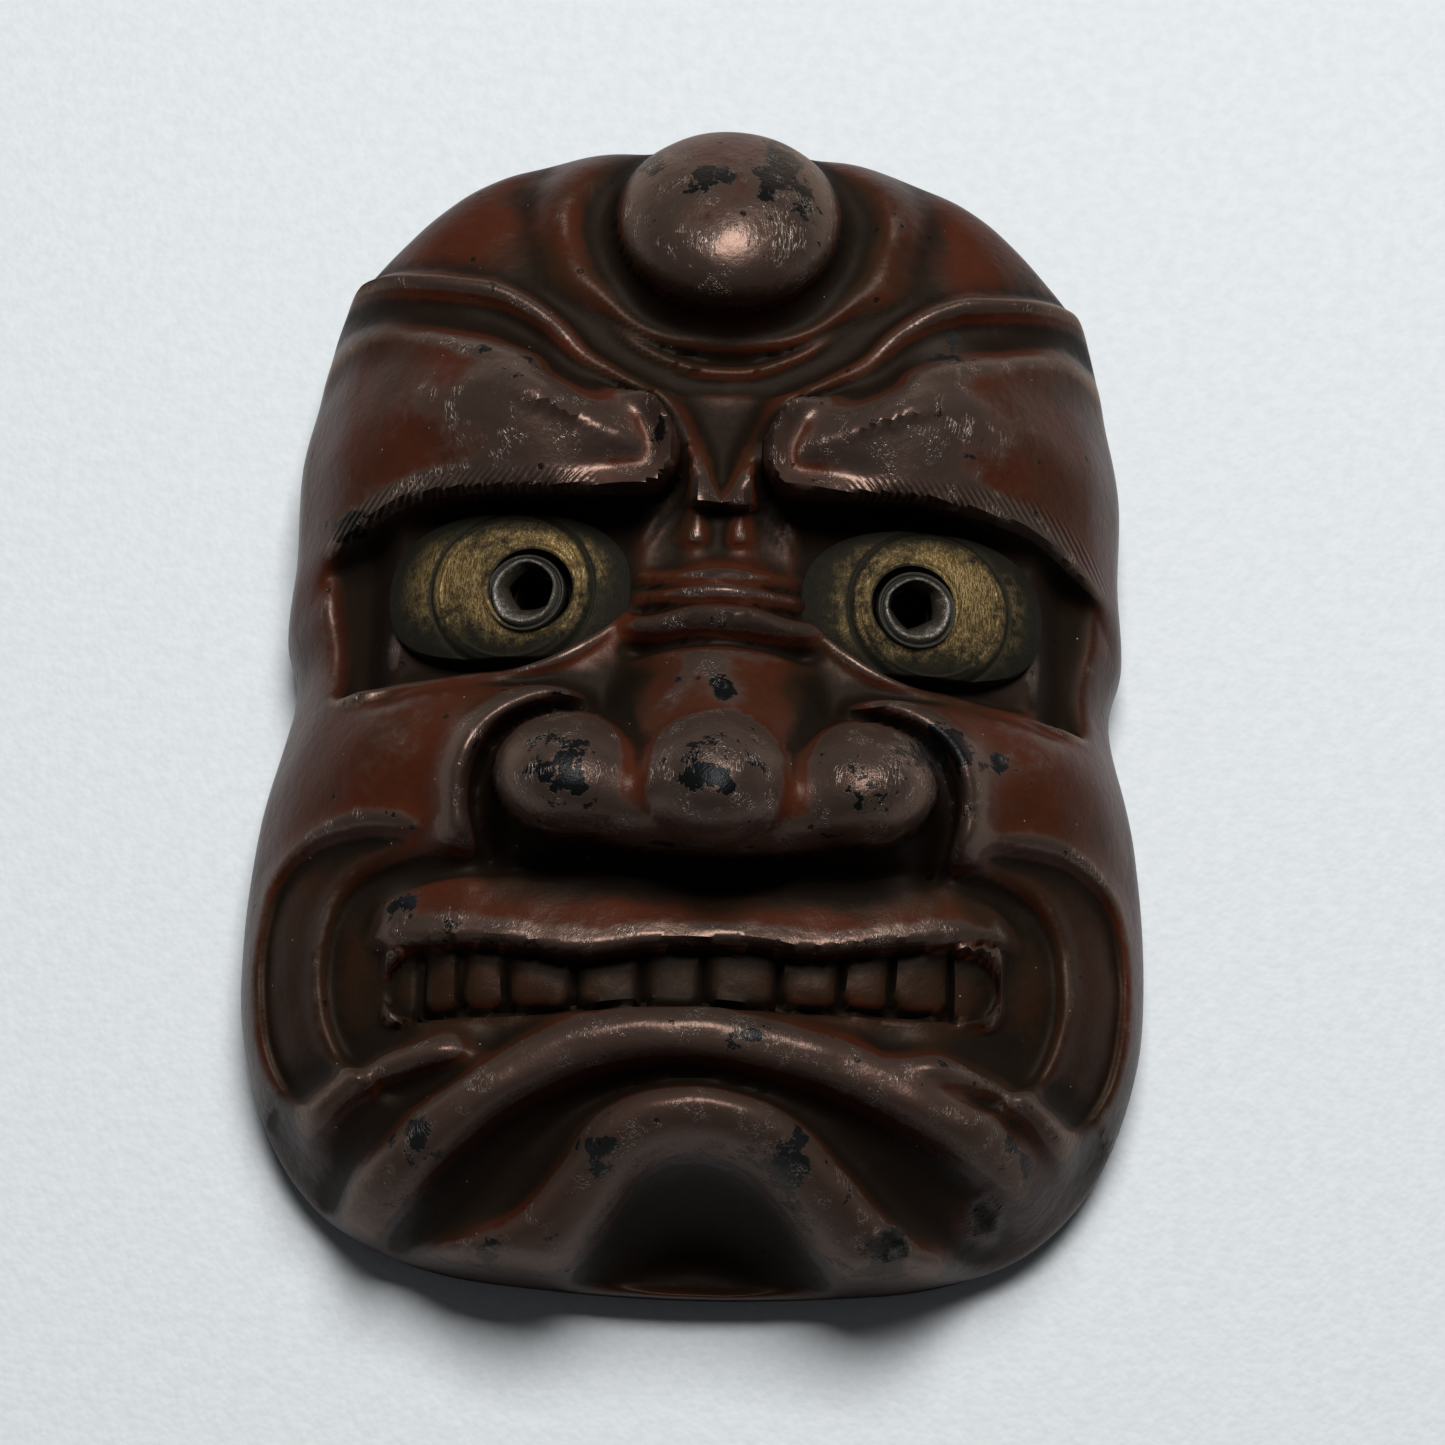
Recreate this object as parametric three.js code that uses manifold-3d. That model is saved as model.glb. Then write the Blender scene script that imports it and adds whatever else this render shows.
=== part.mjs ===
// A small carved mask of a wrathful demon: a hollow wooden shell with a horn bump, heavy brows, a broad
// nose and bared teeth, two gilt eye plates let into its sockets, a collar round each drilled pupil, and
// a bar across the hollow back. It lies on the rim of its back: +Z out of the face, +Y to the crown.
import * as THREE from 'three';
import { mergeVertices } from 'three/addons/utils/BufferGeometryUtils.js';
import Module from 'manifold-3d';

const wasm = await Module();
wasm.setup();

// Driving dimensions, in millimetres.
const mask_width = 37;
const mask_height = 48;
const dome_height = 10.6;
const relief_scale = 1;          // 1 carves the folds at their full height
const rim_band = 0.8;            // height of the straight edge above the back
const wall = 2.7;                // width of the flat rim, from the outline to the hollow
const hollow_depth = 6.4;
const inlay_gap = 0.25;          // clearance round each piece that is let in

const eye_width = 10;
const eye_height = 6.2;
const eye_skirt = 1.3;           // straight edge of an eye plate, below its dome
const eye_dome = 1.5;            // rise of an eye plate's dome over its edge
const eye_tilt = 0.2;            // radians that the outer end drops

const pupil_radius = 0.95;
const collar_wall = 0.65;
const collar_height = 1.1;
const collar_proud = 0.3;        // how far a collar stands over the plate
const sight_bore = 1.5;          // radius of the hole behind an eye, into the hollow

const bar_radius = 1.4;
const bar_seat = 1.6;            // how far each end of the bar enters the wall
const bar_y = 8;
const bar_underside = 0.7;       // height of the bar's lowest line over the back

// The face is drawn on this size, and stretched with the mask.
const drawn_width = 37;
const drawn_height = 48;
const stretch_x = mask_width / drawn_width;
const stretch_y = mask_height / drawn_height;
const upper_shift = 0.4;         // how far right of the outline's middle the brows and the horn sit
const nose_shift = 0.65;         // and the nose

// Eyes as drawn: middle of each plate, and the pupil's place in it.
const eyes = {
  left: { side: -1, x: -7.9, y: 3.1, z: 9.5, pupil: [1.2, -0.3] },
  right: { side: 1, x: 8.7, y: 2.9, z: 9.5, pupil: [-0.7, -0.25] },
};

const colours = {
  lacquer: new THREE.Color(0.24, 0.09, 0.06),
  gilt: new THREE.Color(0.55, 0.42, 0.18),
  collar: new THREE.Color(0.45, 0.43, 0.38),
  bar: new THREE.Color(0.06, 0.045, 0.04),
};

// ---- curves of the face, as drawn ----

const points = (list) => list.map(([x, y]) => new THREE.Vector2(x, y));
const traced = (list, steps) => new THREE.SplineCurve(points(list)).getPoints(steps);
const bothSides = (list) => [...list.map(([x, y]) => [-x, y]).reverse(), ...list];

// Right half of the outline, from the chin to the crown.
const half_outline = [[5.2, -23.8], [10.2, -23.2], [14, -21.6], [16.7, -18.5], [18.2, -14.2],
  [18.5, -10], [18.1, -5], [17, 0.3], [17.5, 3.2], [17.3, 6.5], [17.3, 10.6], [16.6, 14],
  [15.7, 17.3], [13.2, 20], [10, 22.3], [5.8, 23.7]];
const outline_loop = [[0, -24], ...half_outline, [0, 24], ...half_outline.map(([x, y]) => [-x, y]).reverse()];
const outline = new THREE.CatmullRomCurve3(
  outline_loop.map(([x, y]) => new THREE.Vector3(x, y, 0)), true, 'centripetal').getPoints(220);
const outline_angles = outline.map((p) => Math.atan2(p.y, p.x));

// Fraction of the outline, and height as a share of the dome, from the middle of the face to the rim.
const dome_profile = new THREE.SplineCurve(points([[0, 1], [0.3, 0.995], [0.55, 0.95], [0.74, 0.84],
  [0.88, 0.66], [0.965, 0.42], [0.995, 0.22], [0.985, 0.08]]));

const brow_edge = traced([[19, 3.4], [15, 5.3], [10.9, 6.6], [5.7, 6.7], [3.7, 6.8], [2.4, 7.1],
  [1.75, 7.9], [1.55, 8.9], [1.8, 9.8], [2.5, 10.7], [3.7, 11.3], [5.2, 12.1], [7, 13.4], [9.2, 14.8],
  [12.6, 15.9], [19, 17.5]], 60);
const brow_line = traced([[17.5, 18.3], [15.6, 17.6], [12.6, 16.7], [9.4, 15.9], [7.4, 14.7], [5.8, 13],
  [4.2, 12], [2.8, 11.2], [1.9, 10], [1.2, 8.3], [0.85, 6.3], [0.8, 5]], 40);
const temple_fold = traced([[17.6, 13.6], [16, 14.3], [14.2, 14.3], [11.8, 13.5], [9.2, 12.6],
  [6.8, 11.8]], 20);
const boss_ring = traced(bothSides([[0, 13.6], [2.3, 13.9], [4.2, 14.9], [5.9, 16.6], [6.9, 18.8],
  [6.6, 20.8], [5.2, 22.6], [3.4, 24.2]]), 40);
const mouth_ring = traced([[-2, -8.9], [0, -8.9], [6, -8.4], [10.6, -8], [12.5, -8.3], [13.8, -9],
  [14.6, -10.6], [14.75, -13], [14.1, -15.3], [12.5, -17.2], [10, -18.6]], 40);
const outer_ring = traced([[9, -7.6], [13.2, -7], [15.2, -7.2], [16.8, -8.3], [17.4, -10.5], [17.4, -13],
  [16.9, -15.4], [15.6, -17.4], [13, -19]], 30);
const short_ridge = traced([[15.4, -19], [14.1, -17.7], [12.3, -16.7], [10, -16.2], [7.4, -15.8]], 16);
const long_ridge = traced([[-14.2, -23], [-10.9, -19.9], [-8.7, -18.1], [-6.6, -16.7], [-4, -15.7],
  [-1.4, -15.3], [1, -15.3], [3.8, -15.7], [6.4, -16.3], [9.1, -17.3], [11.8, -18.5], [14.5, -20]], 40);
const chin_ridge = traced([[-12, -24.6], [-7.6, -23.5], [-5.5, -22.6], [-3.7, -20.9], [-2.3, -19.3],
  [-0.6, -18.5], [1.4, -18.5], [3.3, -19.3], [5.1, -20.9], [7.2, -22.6], [12, -24.5]], 40);
const lip_top = traced([[-13.4, -10.6], [-12.2, -9.5], [-9.1, -8.9], [-4.7, -8.8], [-2.1, -8.7], [1.4, -9.4],
  [4.5, -8.4], [8.8, -8.3], [11.5, -8.9], [13.4, -10.2]], 36);
const lip_bottom = traced([[-12.7, -11.5], [-9, -11.9], [-4.5, -12.5], [-1.7, -12.1], [1.5, -11.9],
  [4.6, -12.1], [7.2, -11.7], [11.2, -10.9], [12.7, -10.9]], 36);
const wing_groove = traced([[8.5, -8.6], [9, -6.6], [8.9, -5], [8.1, -3.6], [6.2, -2.9], [4.3, -3.5],
  [3.2, -4.9]], 20);
// Crest of the nose: how far below the middle of the face, and its height there.
const nose_line = [[-10, 9.6], [-5, 10.3], [-3.3, 12], [-1.3, 13], [1, 14], [3, 15.4], [4.6, 16],
  [5.8, 13.5], [7, 9]];
// The gaps between the teeth, from the left end of the row to its right end.
const teeth_edges = [-12.2, -10.6, -9, -7.2, -4.6, -1.9, 0.5, 3.4, 5.8, 7.8, 10.1, 12.3];

// ---- carving tools ----

const bell = (d, width) => Math.exp(-((d / width) ** 2));
const ramp = (d, from, to) => THREE.MathUtils.smoothstep(d, from, to);

// The greater of two heights, with the corner between them rounded over a distance of soft.
function joined(a, b, soft) {
  const h = Math.max(soft - Math.abs(a - b), 0) / soft;
  return Math.max(a, b) + (h * h * soft) / 4;
}

// Height of an ellipsoid's upper skin at x, y, falling away steeply outside it.
function ball(x, y, [cx, cy, rx, ry, foot, rise]) {
  const r = Math.hypot((x - cx) / rx, (y - cy) / ry);
  return foot + rise * Math.sqrt(Math.max(1 - r * r, 0)) - 6 * Math.max(r - 1, 0);
}

// Distance from x, y to a traced curve, positive on the left of its direction, with the share of the
// way along it. The direction turns evenly between the curve's points, so the sign is sure at them.
function nearest(curve, x, y) {
  const heading = (i) => new THREE.Vector2().subVectors(
    curve[Math.min(i + 1, curve.length - 1)], curve[Math.max(i - 1, 0)]);
  let d = Infinity;
  let at = 0;
  for (let i = 0; i + 1 < curve.length; i += 1) {
    const step = new THREE.Vector2().subVectors(curve[i + 1], curve[i]);
    const off = new THREE.Vector2(x, y).sub(curve[i]);
    const t = THREE.MathUtils.clamp(off.dot(step) / step.lengthSq(), 0, 1);
    const away = off.addScaledVector(step, -t).length();
    if (away < d) {
      d = away;
      at = i + t;
    }
  }
  const i = Math.min(Math.floor(at), curve.length - 2);
  const ahead = heading(i).lerp(heading(i + 1), at - i);
  const spot = new THREE.Vector2().lerpVectors(curve[i], curve[i + 1], at - i);
  const turn = ahead.x * (y - spot.y) - ahead.y * (x - spot.x);
  return { signed: turn < 0 ? -d : d, along: at / (curve.length - 1) };
}

// A rounded ridge along a curve, or a groove where height is negative, dying out at its ends.
function fold(curve, x, y, height, width, fade = 0.1) {
  const { signed, along } = nearest(curve, x, y);
  return height * bell(signed, width) * ramp(along, -0.02, fade) * ramp(1 - along, -0.02, fade);
}

// Height at a place on a broken line, held level past its two ends.
function level(line, at) {
  const place = THREE.MathUtils.clamp(at, line[0][0], line[line.length - 1][0]);
  const i = Math.max(line.findIndex(([end]) => end >= place), 1);
  const [[from, low], [to, high]] = [line[i - 1], line[i]];
  return THREE.MathUtils.mapLinear(place, from, to, low, high);
}

// ---- the face as a height over the drawn x, y, on a dome of height dome there ----

function crown(x, y, z) {
  const ringed = z + fold(boss_ring, x, y, 0.7, 0.9);
  return joined(ringed, ball(x, y, [0, 19.4, 4.7, 4.5, 9.8, 4]), 1.4);
}

function brows(x, y, z) {
  const a = Math.abs(x);
  const { signed, along } = nearest(brow_edge, a, y);
  const inside = -signed;
  const height = (1.5 + 2.6 * ramp(16 - a, 0, 9)) * (1 - 0.82 * ramp(y, 8, 15.5));
  const top = ramp(along, 0.68, 0.8);
  const swell = height * ((1 - top) * ramp(inside, -0.3, 0.8) + top * ramp(inside, -0.5, 3));
  return z + swell + fold(brow_line, a, y, 0.8, 0.8, 0.02) + fold(temple_fold, a, y, 0.5, 0.8);
}

function glabella(x, y, z) {
  const a = Math.abs(x);
  const outside = nearest(brow_line, a, y).signed;
  const stem = 11.3 + 0.22 * (11.6 - y) - 2.4 * Math.max(outside, 0) - 9 * ramp(-y, -6.7, -6.2)
    - 9 * Math.max(5 - y, 0) - 2 * Math.max(y - 11.4, 0);
  return joined(z, stem, 0.8);
}

function sockets(x, y, z) {
  const a = Math.abs(x);
  const lid = -0.55 + 0.085 * Math.min(a - 9.2, 0) ** 2 - 0.11 * Math.max(a - 9.2, 0);
  const below = ramp(y - lid, -0.3, 0.7);
  const above = ramp(nearest(brow_edge, a, y).signed, -0.6, 0.4) * ramp(8.6 - y, 0, 0.9);
  const across = ramp(a, 3.1, 4.4) * ramp(15.5 - a, 0, 0.9);
  const floor = 9.7 - 0.38 * (a - 3.5);
  return THREE.MathUtils.lerp(z, Math.min(z, floor), below * above * across);
}

function cheeks(x, y, z) {
  const a = Math.abs(x);
  const swell = 1.9 * bell(a - 9.3, 4.8) * bell(y + 4.2, 3.3) + 0.9 * bell(a - 14, 3) * bell(y + 3.6, 3.2);
  return z + swell + fold(wing_groove, a, y, -1.3, 0.7);
}

function nose(x, y, z) {
  const a = Math.abs(x);
  const half = 3 + 0.12 * Math.max(-y, 0);
  const bridge = level(nose_line, -y) - 2.1 * (a / half) ** 2 - 2 * Math.max(y - 6, 0);
  const root = joined(z, bridge, 1.3);
  const wings = joined(root, ball(a, y, [5.7, -5.2, 3.1, 2.55, 12, 5]), 0.8);
  return joined(wings, ball(x, y, [0, -5.1, 3.2, 2.8, 12.8, 6.3]), 1.6);
}

function mouth(x, y, z) {
  const a = Math.abs(x);
  const low = ramp(y, -18.5, -16.2);
  const field = ramp(-nearest(mouth_ring, a, y).signed, -0.5, 0.6) * low;
  const band = ramp(-nearest(outer_ring, a, y).signed, -0.5, 0.5) * low * ramp(a, 9, 13);
  const flat = 11.9 - 0.0125 * a * a;
  const bed = THREE.MathUtils.lerp(z - 0.7 * band, Math.min(z - 0.7 * band - 0.5, flat), field);
  const under_lip = -nearest(lip_bottom, x, y).signed;
  const lip = 1.15 * ramp(-under_lip, -0.2, 0.4) * ramp(-nearest(lip_top, x, y).signed, -0.3, 0.5)
    * ramp(13.2 - a, 0, 1.4);
  const row = ramp(under_lip, -0.2, 0.3) * ramp(y, -14.6, -13.9) * ramp(12.6 - a, 0, 0.5);
  const gaps = teeth_edges.reduce((sum, at) => sum + bell(x - at, 0.3), 0);
  return bed + lip - row * 0.7 * Math.min(gaps, 1);
}

function chin(x, y, z) {
  const a = Math.abs(x);
  const folds = fold(mouth_ring, a, y, 0.4, 0.7, 0.15) + fold(outer_ring, a, y, 0.4, 0.7, 0.15)
    + fold(short_ridge, a, y, 1.3, 0.9, 0.25) + fold(long_ridge, x, y, 2.1, 1);
  return z + folds + fold(chin_ridge, x, y, 3.2, 1.1, 0.03) - 3 * bell(x - 0.5, 4) * bell(y + 22.2, 1.9);
}

// Height of the carved face, and how far each place leans to the chin, which undercuts the brows,
// the horn bump and the nose.
function carve(x, y, dome) {
  const droop = 0.055 * Math.max(x - 5, 0) * ramp(y, -4, 0) * ramp(14 - y, 0, 4);
  const v = y + droop;
  const muzzle = 1.3 * bell(x, 11) * bell(y + 13.5, 6.5);
  let z = crown(x - upper_shift, v, dome + muzzle);
  z = cheeks(x - nose_shift, v, z);
  z = brows(x - upper_shift, v, z);
  z = sockets(x - upper_shift, v, z);
  z = glabella(x - upper_shift, v, z);
  z = mouth(x, y, z);
  z = nose(x - nose_shift, v, z);
  z = chin(x, y, z);
  const lean = 0.3 * Math.max(z - 12.5, 0) * ramp(y, -9.6, -8.4) * ramp(-y, -1, 3)
    + 0.25 * Math.max(z - 10.5, 0) * ramp(y, 4, 5.5) * ramp(11 - y, 0, 3);
  return { rise: (z - dome) * relief_scale, lean: lean * relief_scale };
}

// ---- solids ----

function solidOf(geometry) {
  const plain = geometry.clone();
  plain.deleteAttribute('normal');
  plain.deleteAttribute('uv');
  const merged = mergeVertices(plain, 1e-5);
  const corners = [];
  for (let i = 0; i < merged.index.count; i += 3) {
    const [a, b, c] = [0, 1, 2].map((step) => merged.index.getX(i + step));
    if (a !== b && b !== c && c !== a) corners.push(a, b, c);
  }
  return new wasm.Manifold(new wasm.Mesh({
    numProp: 3,
    vertProperties: new Float32Array(merged.attributes.position.array),
    triVerts: new Uint32Array(corners),
  }));
}

function geometryOf(solid) {
  const { vertProperties, triVerts, numProp } = solid.getMesh();
  const positions = new Float32Array((vertProperties.length / numProp) * 3);
  for (let i = 0; i < positions.length / 3; i += 1) {
    for (let axis = 0; axis < 3; axis += 1) positions[3 * i + axis] = vertProperties[i * numProp + axis];
  }
  const geometry = new THREE.BufferGeometry();
  geometry.setAttribute('position', new THREE.BufferAttribute(positions, 3));
  geometry.setIndex(new THREE.BufferAttribute(new Uint32Array(triVerts), 1));
  geometry.computeVertexNormals();
  return geometry;
}

// Distance from the middle of the face to its outline in a direction, between the outline's points.
function reach(angle) {
  const turned = (at) => Math.atan2(Math.sin(at - angle), Math.cos(at - angle));
  for (let i = 0; i + 1 < outline.length; i += 1) {
    const before = turned(outline_angles[i]);
    const after = turned(outline_angles[i + 1]);
    if (before <= 0 && after > 0 && after - before < 1) {
      const share = -before / (after - before);
      return THREE.MathUtils.lerp(outline[i].length(), outline[i + 1].length(), share);
    }
  }
  return outline[0].length();
}

// A point of a square from -1 to 1, moved to a round disc of radius 1.
function onDisc(u, v) {
  return [u * Math.sqrt(1 - (v * v) / 2), v * Math.sqrt(1 - (u * u) / 2)];
}

// A box whose top is a net of columns by rows over the outline. place gives a vertex of the top for a
// direction and a share of the way to the rim. The bottom is flat, at the height floor, and all its
// vertices but those of the edge are drawn together in the middle.
function netted(columns, rows, floor, place) {
  const box = new THREE.BoxGeometry(2, 2, 2, columns, rows, 1);
  const at = box.attributes.position;
  for (let i = 0; i < at.count; i += 1) {
    const [dx, dy] = onDisc(at.getX(i), at.getY(i));
    const share = Math.min(Math.hypot(dx, dy), 1);
    const spot = place(Math.atan2(dy, dx), share);
    if (at.getZ(i) > 0) at.setXYZ(i, spot.x, spot.y, spot.z);
    else if (share > 0.9999) at.setXYZ(i, spot.x, spot.y, floor);
    else at.setXYZ(i, 0, 0, floor);
  }
  return solidOf(box);
}

const net_columns = 58;
const net_rows = 74;
const profile_steps = 200;
const profile = dome_profile.getSpacedPoints(profile_steps);

function facePoint(angle, share) {
  const { x: out, y: up } = profile[Math.round(share * profile_steps)];
  const r = reach(angle) * out;
  const x = r * Math.cos(angle);
  const y = r * Math.sin(angle);
  const full = 1 - 0.7 * ramp(Math.sin(angle), 0.55, 0.95);
  const dome = dome_height * up ** full;
  const carved = 1 - ramp(share, 0.82, 0.99);
  const { rise, lean } = carve(x, y, dome);
  const z = Math.max(dome + rise * carved, rim_band);
  return { x: x * stretch_x, y: (y - lean * carved) * stretch_y, z };
}

function hollowPoint(angle, share) {
  const r = reach(angle);
  const x = r * Math.cos(angle) * stretch_x;
  const y = r * Math.sin(angle) * stretch_y;
  const kept = 1 - wall / Math.hypot(x, y);
  const out = Math.sin((share * Math.PI) / 2) ** 0.8;
  const up = Math.sqrt(1 - Math.min(out, 1) ** 4);
  return { x: x * kept * out, y: y * kept * out, z: Math.max(hollow_depth * up, 0.3) };
}

// The almond outline of an eye plate, made larger by grow all round.
function almond(grow) {
  const half = eye_width / 2 + grow;
  const rise = eye_height / 2 + grow;
  const shape = new THREE.Shape();
  shape.moveTo(half, 0);
  shape.bezierCurveTo(half, rise * 0.9, half * 0.45, rise, 0, rise);
  shape.bezierCurveTo(-half * 0.45, rise, -half, rise * 0.9, -half, 0);
  shape.bezierCurveTo(-half, -rise * 0.9, -half * 0.45, -rise, 0, -rise);
  shape.bezierCurveTo(half * 0.45, -rise, half, -rise * 0.9, half, 0);
  return shape;
}

// A right prism of the almond from the height low to the height high.
function prism(grow, low, high) {
  const geometry = new THREE.ExtrudeGeometry(almond(grow), {
    depth: high - low, bevelEnabled: false, curveSegments: almond_segments,
  });
  return solidOf(geometry.translate(0, 0, low));
}

// A round rod along Z, centred on x, y, from the height low to the height high.
function rod(radius, x, y, low, high, sides = 28) {
  const geometry = new THREE.CylinderGeometry(radius, radius, high - low, sides).rotateX(Math.PI / 2);
  return solidOf(geometry.translate(x, y, (low + high) / 2));
}

const almond_segments = 10;
const dome_radius = (eye_width ** 2 / 4 + eye_dome ** 2) / (2 * eye_dome);
const eye_foot = -eye_skirt;
const collar_radius = pupil_radius + collar_wall;
const open_above = 14;
const through_below = -14;

// Height of the plate's dome over its edge at a distance from its middle.
const domeAt = (r) => Math.sqrt(dome_radius ** 2 - r ** 2) - dome_radius + eye_dome;

function collarSeat({ pupil }) {
  const crest = domeAt(Math.hypot(...pupil));
  return { x: pupil[0], y: pupil[1], top: crest + collar_proud, foot: crest + collar_proud - collar_height };
}

function eyePlate(eye) {
  const seat = collarSeat(eye);
  const ball_cut = new THREE.SphereGeometry(dome_radius, 40, 32).rotateX(Math.PI / 2)
    .translate(0, 0, eye_dome - dome_radius);
  return prism(0, eye_foot, open_above).intersect(solidOf(ball_cut))
    .subtract(rod(collar_radius + inlay_gap, seat.x, seat.y, seat.foot - inlay_gap, open_above))
    .subtract(rod(pupil_radius, seat.x, seat.y, through_below, open_above));
}

function collar(eye) {
  const seat = collarSeat(eye);
  const half_round = collar_wall * 0.3;
  const section = points([[pupil_radius, seat.foot], [collar_radius, seat.foot],
    [collar_radius, seat.top - half_round], [collar_radius - half_round, seat.top],
    [pupil_radius + half_round, seat.top], [pupil_radius, seat.top - half_round],
    [pupil_radius, seat.foot]]);
  return new THREE.LatheGeometry(section, 32).rotateX(Math.PI / 2).translate(seat.x, seat.y, 0);
}

// Puts a shape that was made flat in its eye's place, with the outer end lower.
function inEye(eye, shape) {
  return shape.rotate([0, (eye.side * eye_tilt * 180) / Math.PI, 0])
    .translate([eye.x * stretch_x, eye.y * stretch_y, eye.z]);
}

// What is cut from the shell for one eye: the seat of its plate, and the bore behind the pupil.
function eyeCut(eye) {
  const seat = prism(inlay_gap, eye_foot - inlay_gap, open_above);
  const bore = rod(sight_bore, eye.pupil[0], eye.pupil[1], through_below, 0);
  return inEye(eye, seat.add(bore));
}

function barLength() {
  const half = hollowPoint(Math.atan2(bar_y / stretch_y, drawn_width / 2), 1).x;
  return 2 * (half + bar_seat);
}

function bar(radius, length) {
  const geometry = new THREE.CylinderGeometry(radius, radius, length, 28).rotateZ(Math.PI / 2);
  return geometry.translate(0, bar_y * stretch_y, bar_underside + bar_radius);
}

function maskShell() {
  const face = netted(net_columns, net_rows, 0, facePoint);
  const hollow = netted(16, 20, -1, hollowPoint);
  const bar_hole = solidOf(bar(bar_radius + inlay_gap, barLength() + 2 * inlay_gap));
  const slot_low = -1;
  const slot_high = bar_underside + bar_radius;
  const bar_slot = solidOf(new THREE.BoxGeometry(
    barLength() + 2 * inlay_gap, 2 * (bar_radius + inlay_gap), slot_high - slot_low,
  ).translate(0, bar_y * stretch_y, (slot_high + slot_low) / 2));
  let shell = face.subtract(hollow).subtract(bar_hole.add(bar_slot));
  for (const eye of Object.values(eyes)) shell = shell.subtract(eyeCut(eye));
  return geometryOf(shell);
}

// ---- the assembly ----

function finish(color, roughness, metalness) {
  return new THREE.MeshStandardMaterial({ color, roughness, metalness });
}

function piece(name, geometry, material) {
  const mesh = new THREE.Mesh(geometry, material);
  mesh.name = name;
  return mesh;
}

const mask = new THREE.Group();
mask.add(piece('mask_shell', maskShell(), finish(colours.lacquer, 0.4, 0)));
for (const [side, eye] of Object.entries(eyes)) {
  const plate = geometryOf(inEye(eye, eyePlate(eye)));
  const ring = geometryOf(inEye(eye, solidOf(collar(eye))));
  mask.add(piece(`${side}_eye`, plate, finish(colours.gilt, 0.45, 0.8)));
  mask.add(piece(`${side}_pupil_collar`, ring, finish(colours.collar, 0.4, 0.8)));
}
mask.add(piece('cord_bar', bar(bar_radius, barLength()), finish(colours.bar, 0.5, 0)));

export default mask;
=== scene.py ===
import math
import mathutils
import bpy
import numpy as np
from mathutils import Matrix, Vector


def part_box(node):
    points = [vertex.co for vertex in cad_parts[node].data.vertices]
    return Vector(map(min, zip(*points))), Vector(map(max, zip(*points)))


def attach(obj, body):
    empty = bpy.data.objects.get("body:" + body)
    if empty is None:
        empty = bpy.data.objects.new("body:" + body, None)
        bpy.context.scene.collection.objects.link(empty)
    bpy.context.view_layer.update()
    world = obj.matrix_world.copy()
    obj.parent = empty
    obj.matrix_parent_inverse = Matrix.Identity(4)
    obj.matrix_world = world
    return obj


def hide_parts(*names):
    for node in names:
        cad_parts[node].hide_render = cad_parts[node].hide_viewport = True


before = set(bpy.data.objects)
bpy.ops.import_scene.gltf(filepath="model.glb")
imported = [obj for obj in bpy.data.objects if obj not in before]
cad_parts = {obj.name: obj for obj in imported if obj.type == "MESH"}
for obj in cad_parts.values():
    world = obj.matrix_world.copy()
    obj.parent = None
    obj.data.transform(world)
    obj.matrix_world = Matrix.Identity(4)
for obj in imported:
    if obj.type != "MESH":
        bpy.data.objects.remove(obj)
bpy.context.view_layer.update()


# ---- the mask, carved from one block of wood and hollowed behind ----
# The carver starts from a dome over the mask's outline and cuts the brows, eyes, nose, mouth and chin
# into it, then scoops out the back and leaves a flat rim. All lengths here are millimetres of the
# drawing, which is 37 wide and 48 tall, and the CAD box of the shell gives the true size. X is to the
# right, Y up to the crown, and Z out of the face. The upper face, cheeks and nose sit a little to the
# right of the middle, by the three shifts.

DRAWN_WIDTH, DRAWN_HEIGHT = 37.0, 48.0
DOME_HEIGHT = 10.6
RIM_WIDTH = 2.7
HOLLOW_DEPTH = 6.4
COLUMNS, ROWS = 264, 312
UPPER_SHIFT, CHEEK_SHIFT, NOSE_SHIFT = 0.4, 0.6, 0.65
TOOTH_ROUNDING = 0.6
SOCKET_FLOOR, SOCKET_END = 9.35, 15.8
STEM_TOP, STEM_FOOT = 11.6, 5.0


def trace(points, steps=48):
    """Catmull-Rom curve: a cubic through each pair of points, shaped by the pair on either side."""
    p = np.array(points, float)
    p = np.vstack([2 * p[0] - p[1], p, 2 * p[-1] - p[-2]])
    t = np.linspace(0, len(points) - 1 - 1e-9, steps + 1)
    i = t.astype(int)
    f = (t - i)[:, None]
    a, b, c, d = p[i], p[i + 1], p[i + 2], p[i + 3]
    return 0.5 * (2 * b + (c - a) * f + (2 * a - 5 * b + 4 * c - d) * f**2 + (3 * b - a - 3 * c + d) * f**3)


def both_sides(points):
    """The points of the right half, with their mirror images before them."""
    return [(-x, y) for x, y in reversed(points) if x > 0] + list(points)


def bell(d, width):
    """e to the minus (d over width) squared."""
    return np.exp(-((d / width) ** 2))


def ramp(d, low, high):
    """0 below low, 1 above high, and 3t squared minus 2t cubed between."""
    t = np.clip((d - low) / (high - low), 0, 1)
    return t * t * (3 - 2 * t)


def joined(a, b, soft):
    """The greater of two heights, with a quarter of a parabola, soft long, in the corner."""
    h = np.maximum(soft - np.abs(a - b), 0) / soft
    return np.maximum(a, b) + h * h * soft / 4


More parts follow.
